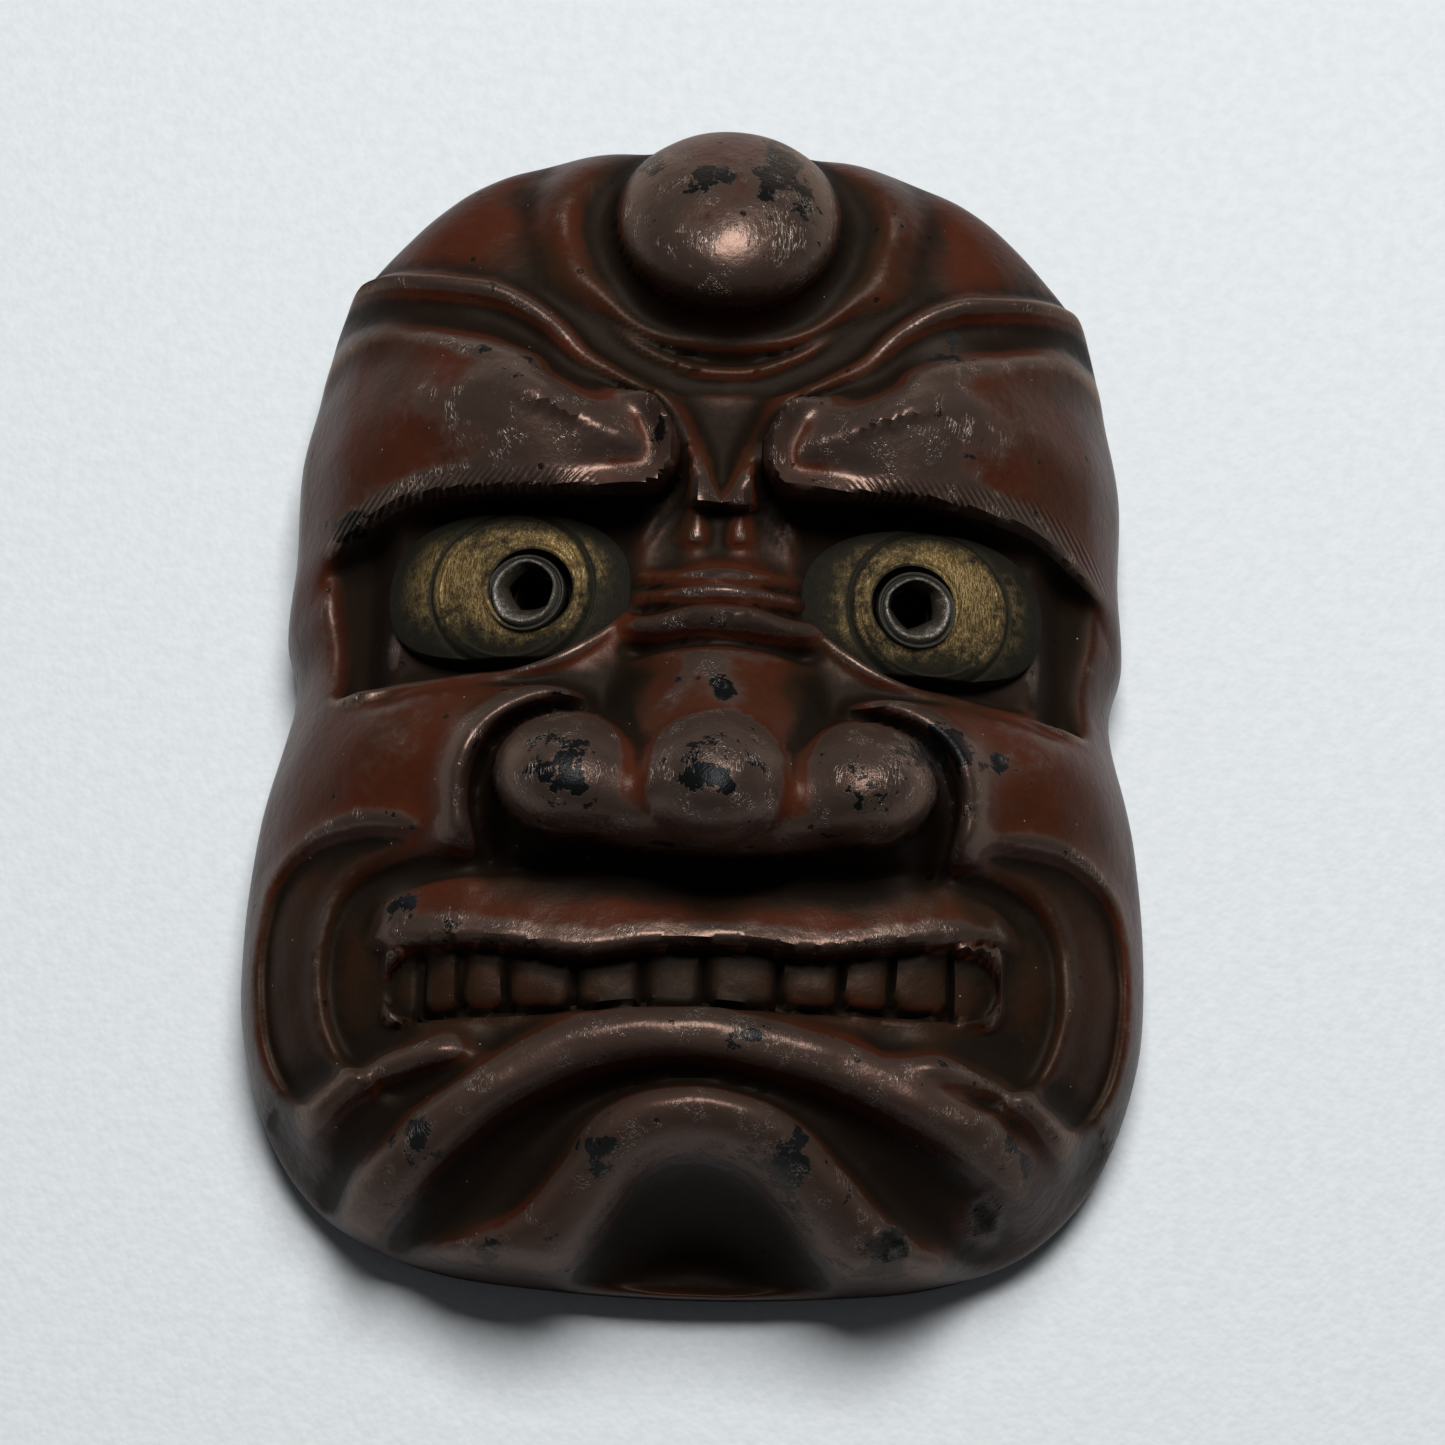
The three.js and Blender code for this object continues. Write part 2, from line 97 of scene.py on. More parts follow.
def nearest(curve, x, y):
    """Distance to a curve, the same with a plus sign on its left, and the share of the way along it."""
    start, step = curve[:-1], np.diff(curve, axis=0)
    unit = step / np.linalg.norm(step, axis=1, keepdims=True)
    heading = np.vstack([unit[:1], (unit[:-1] + unit[1:]) / 2, unit[-1:]])
    dx, dy = x[:, None] - start[:, 0], y[:, None] - start[:, 1]
    t = np.clip((dx * step[:, 0] + dy * step[:, 1]) / (step**2).sum(1), 0, 1)
    dx -= t * step[:, 0]
    dy -= t * step[:, 1]
    square = dx * dx + dy * dy
    k = square.argmin(1)
    row = np.arange(len(x))
    d = np.sqrt(square[row, k])
    part = t[row, k]
    ahead = heading[k] * (1 - part[:, None]) + heading[k + 1] * part[:, None]
    turn = ahead[:, 0] * dy[row, k] - ahead[:, 1] * dx[row, k]
    return d, np.where(turn < 0, -d, d), (k + part) / len(step)


def both_ends(along, fade):
    """1 along a curve, falling to 0 over a share of it at each end."""
    return ramp(along, -0.02, fade) * ramp(1 - along, -0.02, fade)


def fold(curve, x, y, height, left, right, fade):
    """A ridge: height times a bell of the distance, with its own width on each side of the curve."""
    d, signed, along = nearest(curve, x, y)
    return height * bell(d, np.where(signed > 0, left, right)) * both_ends(along, fade)


def roll(curve, x, y, height, left, right, fade):
    """A ridge with a broad back and steep sides: e to the minus (distance over width) cubed."""
    _, signed, along = nearest(curve, x, y)
    width = np.where(signed > 0, left, right)
    return height * np.exp(-(np.abs(signed / width) ** 3)) * both_ends(along, fade)


def ball(x, y, centre, radii, foot, rise):
    """Upper skin of an ellipsoid on the height foot, falling steeply away outside it."""
    r = np.hypot((x - centre[0]) / radii[0], (y - centre[1]) / radii[1])
    return foot + rise * np.sqrt(np.maximum(1 - r * r, 0)) - 9 * np.maximum(r - 1, 0)


# The knife's lines, each drawn through a few points of the right half. BOSS_RING and LOWER_ARC are
# mirrored, LONG_RIDGE, CHIN_RIDGE, LIP_TOP and LIP_BOTTOM cross the middle, and the rest serve both
# halves. NOSE_LINE is a profile instead: places up the nose, and its height there.
BROW_EDGE = trace([
    (19, 3.4), (17, 4.3), (15, 5.3), (13, 6.2), (10.9, 6.6), (8.3, 6.7), (5.7, 6.7), (3.7, 6.8),
    (2.4, 7.1), (1.75, 7.9), (1.55, 8.9), (1.8, 9.8), (2.5, 10.7), (3.7, 11.3), (5.2, 12.1), (7, 13.4),
    (9.2, 14.8), (12.6, 15.9), (19, 17.5)], 90)
BROW_LINE = trace([
    (17.5, 18.3), (15.6, 17.6), (12.6, 16.7), (9.4, 15.9), (7.4, 14.7), (5.8, 13.0), (4.2, 12.0),
    (2.8, 11.2), (1.9, 10.0), (1.2, 8.3), (0.85, 6.3), (0.8, 5)], 60)
TEMPLE_FOLD = trace([(17.6, 13.6), (16, 14.3), (14.2, 14.3), (11.8, 13.5), (9.2, 12.6), (6.8, 11.8)], 36)
BOSS_RING = trace(both_sides([
    (0, 13.6), (2.3, 13.9), (4.2, 14.9), (5.9, 16.6), (6.9, 18.8), (6.6, 20.8), (5.2, 22.6),
    (3.4, 24.2)]), 60)
LOWER_ARC = trace(both_sides([(0, 12.5), (1.6, 12.7), (3.4, 13.6), (5.2, 14.9)]), 30)
CROWN_VALLEY = trace([(5.4, 25), (7.6, 22.8), (8.4, 20.8), (7.9, 18.2), (6.8, 16.6)], 30)
MOUTH_RING = trace([
    (-2, -8.9), (0, -8.9), (3, -8.6), (6, -8.4), (8.5, -8.1), (10.6, -8.0), (12.5, -8.3), (13.8, -9),
    (14.6, -10.6), (14.75, -13), (14.1, -15.3), (12.5, -17.2), (10, -18.6)], 60)
OUTER_RING = trace([
    (9, -7.6), (11, -7.3), (13.2, -7.0), (15.2, -7.2), (16.8, -8.3), (17.4, -10.5), (17.4, -13),
    (16.9, -15.4), (15.6, -17.4), (13, -19)], 48)
SHORT_RIDGE = trace([(15.4, -19), (14.1, -17.7), (12.3, -16.7), (10, -16.2), (7.4, -15.8)], 30)
LONG_RIDGE = trace([
    (-14.2, -23), (-13, -21.8), (-10.9, -19.9), (-8.7, -18.1), (-6.6, -16.7), (-4, -15.7),
    (-1.4, -15.3), (1, -15.3), (3.8, -15.7), (6.4, -16.3), (9.1, -17.3), (11.8, -18.5), (14.5, -20)], 60)
CHIN_RIDGE = trace([
    (-12, -24.6), (-9.5, -24), (-7.6, -23.5), (-5.5, -22.6), (-3.7, -20.9), (-2.3, -19.3),
    (-0.6, -18.5), (1.4, -18.5), (3.3, -19.3), (5.1, -20.9), (7.2, -22.6), (9.6, -23.7), (12, -24.5)], 70)
JAW_VALLEY = trace([(17.2, -17.2), (15.4, -20), (12.6, -22), (10.8, -23.6)], 24)
LIP_TOP = trace([
    (-13.4, -10.6), (-12.2, -9.5), (-9.1, -8.9), (-4.7, -8.8), (-2.1, -8.7), (0, -9.2), (1.4, -9.4),
    (2.8, -9.1), (4.5, -8.4), (8.8, -8.3), (11.5, -8.9), (13.4, -10.2)], 60)
LIP_BOTTOM = trace([
    (-12.7, -11.5), (-11.6, -11.8), (-9, -11.9), (-6.3, -12.2), (-4.5, -12.5), (-1.7, -12.1),
    (1.5, -11.9), (4.6, -12.1), (7.2, -11.7), (9.4, -11.3), (11.2, -10.9), (12.7, -10.9)], 60)
WING_RIM = trace([(9.5, -8.6), (9.9, -6.3), (9.4, -4.2), (8.0, -2.7), (6.1, -2.0), (4.2, -2.6)], 30)
WING_GROOVE = trace([
    (8.5, -8.6), (9, -6.6), (8.9, -5), (8.1, -3.6), (6.2, -2.9), (4.3, -3.5), (3.2, -4.9)], 36)
CHEEK_CREASE = trace([(14.4, -1.9), (12.2, -1.2), (9.6, -0.9), (6.8, -1.1), (4.6, -1.9), (3.6, -3.2)], 30)
NOSE_LINE = trace([
    (10, 9.6), (6.6, 10.4), (5.0, 10.3), (3.3, 12.0), (1.3, 13.0), (-1, 14.2), (-3.0, 15.8),
    (-4.8, 16.6), (-5.8, 14), (-7, 9), (-14, 4)], 60)
# Knocks and worn patches, each a place and a radius.
CHIPS = [(11.8, -20.9, 0.6), (8.1, -22.6, 0.6)]
FLAKED = [
    (2.6, 21.0, 1.6), (-0.6, 20.4, 0.9), (-3.0, 21.4, 0.6), (9.4, 13.6, 1.0), (-2.2, 9.2, 0.6),
    (9.3, -3.7, 1.3), (11.6, -4.2, 0.7), (-5.1, -5.4, 1.1), (0.6, -5.1, 1.1), (6.4, -5.5, 1.1),
    (0.7, -1.7, 0.5), (-3.3, -19.9, 0.9), (4.3, -20.2, 0.9), (8.0, -22.8, 0.9), (-7.6, -23.1, 0.8),
    (-10.4, -19.4, 0.7), (-11.6, -10.0, 0.7), (13.3, -18.9, 0.6), (2.6, -15.4, 0.5), (-14.6, 6.0, 0.7)]
# Where the gaps between the teeth are, from left to right.
TEETH = [-12.2, -10.6, -9.0, -7.2, -4.6, -1.9, 0.5, 3.4, 5.8, 7.8, 10.1, 12.3]


def crown(x, y, z):
    """Forehead: a soft ring of skin and thin arcs about the horn bump, which is a low ball joined to it."""
    under = 1 - ramp(y, 14.4, 16.5)
    z = z + fold(BOSS_RING, x, y, 0.6, 0.9, 1.2, 0.15) * (1 - under)
    z = z + fold(BOSS_RING, x, y, 0.42, 0.45, 0.22, 0.02) * under
    z = z + fold(LOWER_ARC, x, y, 0.36, 0.4, 0.22, 0.15)
    z = z - 0.3 * bell(y - 13.25 - 0.05 * x * x, 0.3) * bell(x, 3.5)
    z = z + fold(CROWN_VALLEY, np.abs(x), y, -0.4, 1.2, 1.0, 0.3)
    return joined(z, ball(x, y, (0, 19.5), (4.7, 4.6), 10.0 - 0.42 * (y - 19.5), 3.9), 1.2)


def brows(x, y, z):
    """Brow lobes: a quick rise inside their curled edge, a roll along it, and a slow fall to the forehead."""
    a = np.abs(x)
    _, signed, along = nearest(BROW_EDGE, a, y)
    inside = -signed
    height = (0.9 + 0.6 * ramp(17 - a, 0, 2) + 2.6 * ramp(16 - a, 0, 9)) * (1 - 0.75 * ramp(y, 9.5, 16))
    top = ramp(along, 0.68, 0.8)
    edge = 0.66 * ramp(inside, -0.1 - 1.2 * ramp(a, 15.3, 17), 0.45 + 0.8 * ramp(a, 15.3, 17))
    edge += 0.34 * ramp(inside, 0.2, 4.6)
    swell = height * (edge * (1 - top) + ramp(inside, -0.5, 3) * top)
    curl = ramp(along, 0.3, 0.4) * (1 - ramp(along, 0.66, 0.74))
    swell += curl * (0.45 * bell(inside - 0.45, 0.35) - 0.5 * bell(inside - 1.4, 0.6))
    swell -= 0.5 * ramp(along, 0.5, 0.6) * bell(inside - 0.1, 0.35) * (1 - ramp(along, 0.72, 0.8))
    ridge = fold(BROW_LINE, a, y, 0.95, 0.65, 0.5, 0.02) * (0.75 + 0.25 * ramp(a, 2.5, 5))
    return z + swell + ridge + fold(TEMPLE_FOLD, a, y, 0.55, 0.7, 0.8, 0.1)


def glabella(x, y, z):
    """The stem between the brows: a funnel between two rolled edges, cut off square over the nose."""
    a = np.abs(x)
    inside = -nearest(BROW_LINE, a, y)[1]
    height = 11.3 + 0.22 * (STEM_TOP - y) - 9 * ramp(-y, -6.7, -6.2)
    height = height - 9 * np.maximum(STEM_FOOT - y, 0) - 2 * np.maximum(y - STEM_TOP + 0.2, 0)
    stem = height - 2.4 * np.maximum(-inside, 0) - 0.9 * ramp(inside, 0.05, 1.3)
    z = joined(z, stem, 0.6) + 0.1 * bell(y - 11.5, 0.25) * bell(x, 2.4)
    fan = np.cos((a - 0.62 * (9.4 - y)) * 2 * math.pi / 0.62)
    where = bell(a - 2.1 - 0.3 * (7 - y), 0.85) * ramp(y, 4.4, 5.6) * ramp(9.6 - y, 0, 1.5)
    return z + 0.11 * fan * where


def socket_mask(x, y):
    """1 inside a socket, between lid and brow, and 0 outside it, and then how high up the lid runs."""
    a = np.abs(x)
    lid = -0.55 + 0.085 * (a - 9.2) ** 2 * (a < 9.2) - 0.11 * np.maximum(a - 9.2, 0)
    below = ramp(y - lid, -0.2, 0.55)
    above = ramp(nearest(BROW_EDGE, a, y)[1], -0.45, 0.3)
    across = ramp(a, 2.8, 3.6) * ramp(SOCKET_END + 0.12 * y - a, 0, 1.5)
    return below * above * across * ramp(8.6 - y, 0, 0.9), lid


def sockets(x, y, z):
    """Deep sockets: inside each the surface drops to a floor that slopes outwards."""
    a = np.abs(x)
    deep, lid = socket_mask(x, y)
    floor = SOCKET_FLOOR - 0.2 * (a - 8) - 1.8 * ramp(a, 12.7, 14.2)
    rim = 0.35 * bell(y - lid + 0.25, 0.38) * ramp(a, 3.6, 5.5) * ramp(15.4 - a, 0, 1.5)
    return z * (1 - deep) + np.minimum(z, floor) * deep + rim


def cheeks(x, y, z):
    """Cheeks as two broad swells a side, creased under the lid and round the nostril wings."""
    a = np.abs(x)
    z = z + 1.9 * bell(a - 9.3, 4.8) * bell(y + 4.2, 3.3) + 0.9 * bell(a - 14, 3) * bell(y + 3.6, 3.2)
    z = z + fold(CHEEK_CREASE, a, y, -0.75, 0.5, 0.75, 0.15)
    return z + fold(WING_RIM, a, y, 1.3, 0.45, 1.0, 0.12) + fold(WING_GROOVE, a, y, -2.0, 0.5, 0.55, 0.05)


def nose(x, y, z):
    """A bridge with a parabola for its section, rolls of skin at its root, two wings and a round tip."""
    a = np.abs(x)
    crest = np.interp(-y, -NOSE_LINE[:, 0], NOSE_LINE[:, 1])
    half = 3.0 + 0.12 * np.maximum(-y, 0)
    bridge = crest - 2.1 * (a / half) ** 2 - 2 * np.maximum(y - 6, 0)
    sag = 0.018 * x * x
    level = y - sag
    rolls = 0.26 * bell(level - 3.4, 0.26) + 0.3 * bell(level - 2.5, 0.28) + 0.65 * bell(level - 1.2, 0.4)
    rolls -= 0.85 * bell(level - 0.2, 0.4) + 0.3 * bell(level - 1.95, 0.22) + 0.2 * bell(level - 2.95, 0.2)
    z = joined(z, bridge, 1.3) + rolls * ramp(4.3 - a, 0, 1.2)
    z = joined(z, ball(x, y, (0, -5.9), (8.3, 2.6), 12.0, 4.4), 0.9)
    z = joined(z, ball(a, y, (5.6, -5.3), (3.1, 2.6), 12.4, 4.3), 1.3)
    return joined(z, ball(x, y, (0, -5.3), (3.0, 2.8), 13.4, 4.8), 1.9)


def mouth(x, y, z):
    """The mouth's field sinks inside the cheeks' ring; the lip is a band on it, and the teeth a row.

    Each tooth is a rectangle with rounded corners, raised where the signed distance to it is below 0.
    """
    a = np.abs(x)
    ring = nearest(MOUTH_RING, a, y)[1]
    outer = nearest(OUTER_RING, a, y)[1]
    low = ramp(y, -18.5, -16.2)
    field = ramp(-ring, -0.4, 0.45) * low
    band = ramp(-outer, -0.3, 0.4) * low
    flat = 11.9 - 0.0125 * a * a
    z = z - 0.7 * band * ramp(a, 9, 13)
    z = z * (1 - field) + np.minimum(z - 0.5, flat) * field
    inside = ramp(nearest(LIP_BOTTOM, x, y)[1], -0.22, 0.38) * ramp(-nearest(LIP_TOP, x, y)[1], -0.15, 0.45)
    z = z + (1.35 - 0.3 * np.maximum(y + 12, 0)) * inside * ramp(13.2 - a, 0, 1.4)
    level = y + 12.9 - 0.03 * x
    corner = np.hypot(np.maximum(a - 10.9, 0), np.maximum(np.abs(level) - 0.1, 0))
    slot = ramp(1.35 - corner, 0, 0.3) * ramp(-nearest(LIP_BOTTOM, x, y)[1], -0.15, 0.1)
    z = z - 1.0 * slot
    for left, right in zip(TEETH[:-1], TEETH[1:]):
        end = left == TEETH[0] or right == TEETH[-1]
        middle, half = (left + right) / 2, (right - left) / 2 - 0.04
        foot = -14.0 + 0.03 * middle - 0.35 * end
        qx = np.abs(x - middle) - half + TOOTH_ROUNDING
        qy = np.abs(y - foot - 1.7) - 1.7 + TOOTH_ROUNDING
        corner = np.hypot(np.maximum(qx, 0), np.maximum(qy, 0))
        gap = corner + np.minimum(np.maximum(qx, qy), 0) - TOOTH_ROUNDING
        tooth = 0.78 * ramp(-gap, -0.06, 0.17) + 0.08 * ramp(-gap, 0.1, 0.8)
        z = z + tooth * ramp(-nearest(LIP_BOTTOM, x, y)[1], -0.05, 0.2)
    return z


def chin(x, y, z):
    """Arched ridges under the mouth, steeper on their chin side, over a scooped chin."""
    a = np.abs(x)
    z = z + fold(MOUTH_RING, a, y, 0.35, 0.5, 0.3, 0.15) + fold(OUTER_RING, a, y, 0.3, 0.6, 0.3, 0.15)
    z = z + fold(SHORT_RIDGE, a, y, 1.6, 0.55, 0.9, 0.25) + fold(JAW_VALLEY, a, y, -0.9, 0.9, 0.9, 0.03)
    z = z + roll(LONG_RIDGE, x, y + 0.45, 2.4, 1.5, 0.95, 0.12)
    z = z + roll(CHIN_RIDGE, x, y + 0.5, 3.5, 1.9, 0.95, 0.03)
    z = z - 3.6 * bell(x - 0.6, 4.2) * bell(y + 22.2, 1.9)
    z = z - 0.6 * bell(y + 17.0 + 0.06 * x * x, 0.5) * bell(x, 6)
    for at_x, at_y, radius in CHIPS:
        d = np.hypot(x - at_x, y - at_y) + 0.12 * np.sin(7 * x + 3) * np.sin(8 * y)
        z = z - 0.55 * bell(d, radius * 0.6) + 0.25 * bell(d - radius, 0.2)
    return z


def carve(x, y, dome):
    """Height of the carved face, and how far each place leans towards the chin, which undercuts it.

    The last two sines are the faint waves that a knife leaves.
    """
    droop = 0.055 * np.maximum(x - 5, 0) * ramp(y, -4, 0) * ramp(14 - y, 0, 4)
    v = y + droop - 0.3 * bell(x - 8, 2.5) * bell(y - 7, 2)
    upper = x - UPPER_SHIFT
    z = dome + 1.3 * bell(x, 11) * bell(y + 13.5, 6.5)
    z = crown(upper, v, z)
    z = cheeks(x - CHEEK_SHIFT, v, z)
    z = brows(upper, v, z)
    z = sockets(upper, v, z)
    z = glabella(upper - 0.1, v, z)
    z = mouth(x, y, z)
    z = nose(x - NOSE_SHIFT, v, z)
    z = chin(x, y, z)
    z = z + 0.05 * np.sin(0.9 * x + 0.3 * y) * np.sin(1.1 * y - 0.4 * x)
    z = z + 0.03 * np.sin(2.3 * x) * np.sin(2.1 * y + 1)
    lean = 0.3 * np.maximum(z - 12.5, 0) * ramp(y, -9.6, -8.4) * ramp(-y, -1, 3)
    lean += 0.25 * np.maximum(z - 10.5, 0) * ramp(y, 4, 5.5) * ramp(11 - y, 0, 3)
    lean += 0.15 * np.maximum(z - 10.5, 0) * ramp(y, 13.5, 15.5)
    return z, lean


HALF_OUTLINE = [(5.2, -23.8), (10.2, -23.2), (14, -21.6), (16.7, -18.5), (18.2, -14.2), (18.5, -10),
                (18.1, -5), (17.0, 0.3), (17.5, 3.2), (17.3, 6.5), (17.3, 10.6), (16.6, 14), (15.7, 17.3),
                (13.2, 20), (10, 22.3), (5.8, 23.7)]
OUTLINE = [(0, -24)] + HALF_OUTLINE + [(0, 24)] + [(-x, y) for x, y in reversed(HALF_OUTLINE)]
PROFILE = trace([(0, 1), (0.3, 0.995), (0.55, 0.95), (0.74, 0.84), (0.88, 0.66), (0.965, 0.42), (0.995, 0.22),
                 (0.985, 0.08)], 300)


def reach(angle):
    """Distance from the middle to the outline, read off the outline's curve by direction."""
    loop = trace(OUTLINE * 2 + OUTLINE[:1], 1400)
    at = np.unwrap(np.arctan2(loop[:, 1], loop[:, 0]))
    middle = at[0] + math.pi
    return np.interp((angle - middle) % (2 * math.pi) + middle, at, np.hypot(loop[:, 0], loop[:, 1]))


# The front is a net over a square, drawn into a disc and stretched to the outline and the dome.
u, v = np.meshgrid(np.linspace(-1, 1, COLUMNS + 1), np.linspace(-1, 1, ROWS + 1))
disc_x, disc_y = u * np.sqrt(1 - v * v / 2), v * np.sqrt(1 - u * u / 2)
direction = np.arctan2(disc_y, disc_x).ravel()
share = np.minimum(np.hypot(disc_x, disc_y), 1).ravel()
MEAN_REACH = 20.0
profile_steps = np.hypot(np.diff(PROFILE[:, 0]) * MEAN_REACH, np.diff(PROFILE[:, 1]) * DOME_HEIGHT)
run = np.concatenate([[0], np.cumsum(profile_steps)])
out = np.interp(share * run[-1], run, PROFILE[:, 0])
full = 1 - 0.7 * ramp(np.sin(direction), 0.55, 0.95)
dome = np.interp(share * run[-1], run, PROFILE[:, 1]) ** full * DOME_HEIGHT
edge = reach(direction)
face_x, face_y = edge * out * np.cos(direction), edge * out * np.sin(direction)
face_z, lean = carve(face_x, face_y, dome)
kept = 1 - ramp(share, 0.87, 1.0)
lift = (face_z - dome) * kept
face = np.column_stack([face_x, face_y - lean * kept, np.maximum(dome + lift, 0.8)])

# Behind it, rings of the front's edge go round the rim and up into the hollow.
size = (ROWS + 1, COLUMNS + 1)
index = np.arange(len(face)).reshape(size)
loop = np.concatenate([index[0, :-1], index[:-1, -1], index[-1, :0:-1], index[:0:-1, 0]])
way = np.column_stack([np.cos(direction[loop]), np.sin(direction[loop])])
foot = edge[loop] * 0.985
inner = foot - RIM_WIDTH
rings = [(foot, 0.3), (foot - 0.25, 0.0), (inner + 0.3, 0.0), (inner, 0.3)]
for part in (0.99, 0.95, 0.88, 0.78, 0.64, 0.46, 0.26, 0.08):
    rings.append((inner * part, HOLLOW_DEPTH * math.sqrt(1 - part**4)))
back = [np.column_stack([way * radius[:, None], np.full(len(loop), z)]) for radius, z in rings]
vertices = np.vstack([face] + back + [[[0, 0, HOLLOW_DEPTH]]])
corners = [index[:-1, :-1], index[:-1, 1:], index[1:, 1:], index[1:, :-1]]
quads = [np.column_stack([corner.ravel() for corner in corners])]
loops = [loop] + [len(face) + k * len(loop) + np.arange(len(loop)) for k in range(len(rings))]
for upper, lower in zip(loops[:-1], loops[1:]):
    quads.append(np.column_stack([upper, lower, np.roll(lower, -1), np.roll(upper, -1)]))
pole = np.column_stack([loops[-1], np.full(len(loop), len(vertices) - 1), np.roll(loops[-1], -1)])


def make_mesh(name, vertices, faces):
    """A mesh object in metres from vertices in millimetres and lists of corners."""
    mesh = bpy.data.meshes.new(name)
    mesh.from_pydata((vertices * 0.001).tolist(), [], faces)
    mesh.update()
    mesh.shade_smooth()
    piece = bpy.data.objects.new(name, mesh)
    bpy.context.scene.collection.objects.link(piece)
    return piece


shell_low, shell_high = (np.array(corner) * 1000 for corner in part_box("mask_shell"))
true_width, true_height = shell_high[0] - shell_low[0], shell_high[1] - shell_low[1]
stretch = np.array([true_width / DRAWN_WIDTH, true_height / DRAWN_HEIGHT, 1])
faces = np.vstack(quads).tolist() + pole.tolist()
shell = make_mesh("carved_mask", vertices * stretch, faces)


def softened(z, cells):
    """A height map blurred both ways with bell weights, cells wide."""
    for axis in (0, 1):
        steps = np.arange(-3 * cells, 3 * cells + 1)
        weights = bell(steps, 1.4 * cells)
        padded = np.pad(z, [(3 * cells, 3 * cells) if k == axis else (0, 0) for k in (0, 1)], mode="edge")
        here = np.arange(z.shape[axis])
        z = sum(w * np.take(padded, here + k, axis) for k, w in enumerate(weights)) / weights.sum()
    return z


def write_values(piece, name, values):
    """Keep one number a vertex on the piece, for its material to read."""
    layer = piece.data.attributes.new(name, "FLOAT", "POINT")
    layer.data.foreach_set("value", np.asarray(values, np.float32))


# Numbers that the lacquer reads: how hollow a place is at two scales, where the brow hairs are cut,
# where it is worn, knocked or grimy, the sockets and chin-facing places that get painted shade, and which
# side is the back.
height_map = lift.reshape(size)
brow_side = np.abs(face_x - UPPER_SHIFT)
brow_inside = -nearest(BROW_EDGE, brow_side, face_y)[1]
hair = ramp(brow_inside, 0.1, 0.35) * ramp(1.25 - brow_inside, 0, 0.4)
hair = hair * ramp(brow_side, 4.2, 6.5) * ramp(16.4 - brow_side, 0, 1.5) * (face_y < 9)
flaked = sum(bell(np.hypot(face_x - x, face_y - y), radius) for x, y, radius in FLAKED)
chipped = sum(bell(np.hypot(face_x - x, face_y - y), 1.1 * radius) for x, y, radius in CHIPS)
jaw_side = ramp(-nearest(OUTER_RING, np.abs(face_x), face_y)[1], -0.3, 0.4) * ramp(np.abs(face_x), 10, 13)
front_values = {
    "hollow_fine": (softened(height_map, 3) - height_map).ravel() * kept,
    "hollow_wide": (softened(height_map, 10) - height_map).ravel() * kept,
    "hair": hair,
    "flaked": np.minimum(flaked, 1) * kept,
    "chipped": chipped,
    "grimy": jaw_side * ramp(face_y, -18.5, -16.2),
    # Painted shade: the eye sockets, darkened to stand in for the shadow under the brows.
    "socket_shade": socket_mask(face_x - UPPER_SHIFT, face_y)[0] * kept,
}
back_count = len(vertices) - len(face)
for name, values in front_values.items():
    write_values(shell, name, np.concatenate([values, np.zeros(back_count)]))
normals = np.zeros(len(vertices) * 3, np.float32)
shell.data.vertices.foreach_get("normal", normals)
# Painted shade: how far each place faces the chin, for the lacquer to tint those undersides a darker red.
write_values(shell, "under", ramp(-normals[1::3], 0.35, 0.85))
write_values(shell, "back", np.concatenate([ramp(share, 0.97, 1.0) * 0.5, np.ones(back_count)]))


# Each eye: its side, its middle, and the pupil's place on its plate. The bores through the shell meet
# the pupils, and a slot takes the ends of the cord bar.
EYES = {"left": (-1, -7.9, 3.1, (1.2, -0.3)), "right": (1, 8.7, 2.9, (-0.7, -0.25))}
EYE_LEVEL, EYE_TILT = 9.5, 0.2
BORE, BORE_BACK, BORE_FRONT = 1.0, -9.9, 0.6
BAR_RADIUS, BAR_GAP, BAR_Y = 1.4, 0.25, 8.0


def in_eye(eye, points):
    """Points of an eye drawn flat about its middle, turned so that its outer end drops, and put in place."""
    side, x, y, _ = EYES[eye]
    c, d = math.cos(side * EYE_TILT), math.sin(side * EYE_TILT)
    turned = points @ np.array([[c, 0, -d], [0, 1, 0], [d, 0, c]])
    return turned + [x * stretch[0], y * stretch[1], EYE_LEVEL]


def tube(sections):
    """A closed skin through a stack of rings of equal count, with a flat cap on the first and last."""
    count = len(sections[0])
    ring = np.arange(count)
    skin = []
    for k in range(len(sections) - 1):
        low, high = ring + k * count, ring + (k + 1) * count
        skin += np.column_stack([low, np.roll(low, -1), np.roll(high, -1), high]).tolist()
    last = (len(sections) - 1) * count
    return np.vstack(sections), skin + [ring[::-1].tolist(), (ring + last).tolist()]


def cut_away(piece, cutters, inside):
    """Take closed shapes away from a piece; the cut faces get their own material."""
    for points, skin in cutters:
        cutter = make_mesh("cutter", points, skin)
        cutter.data.materials.append(inside)
        cut = piece.modifiers.new("cut", "BOOLEAN")
        cut.object = cutter
        cut.solver = "EXACT"
        cut.material_mode = "TRANSFER"
        done = bpy.data.meshes.new_from_object(piece.evaluated_get(bpy.context.evaluated_depsgraph_get()))
        piece.modifiers.clear()
        piece.data = done
        bpy.data.objects.remove(cutter)


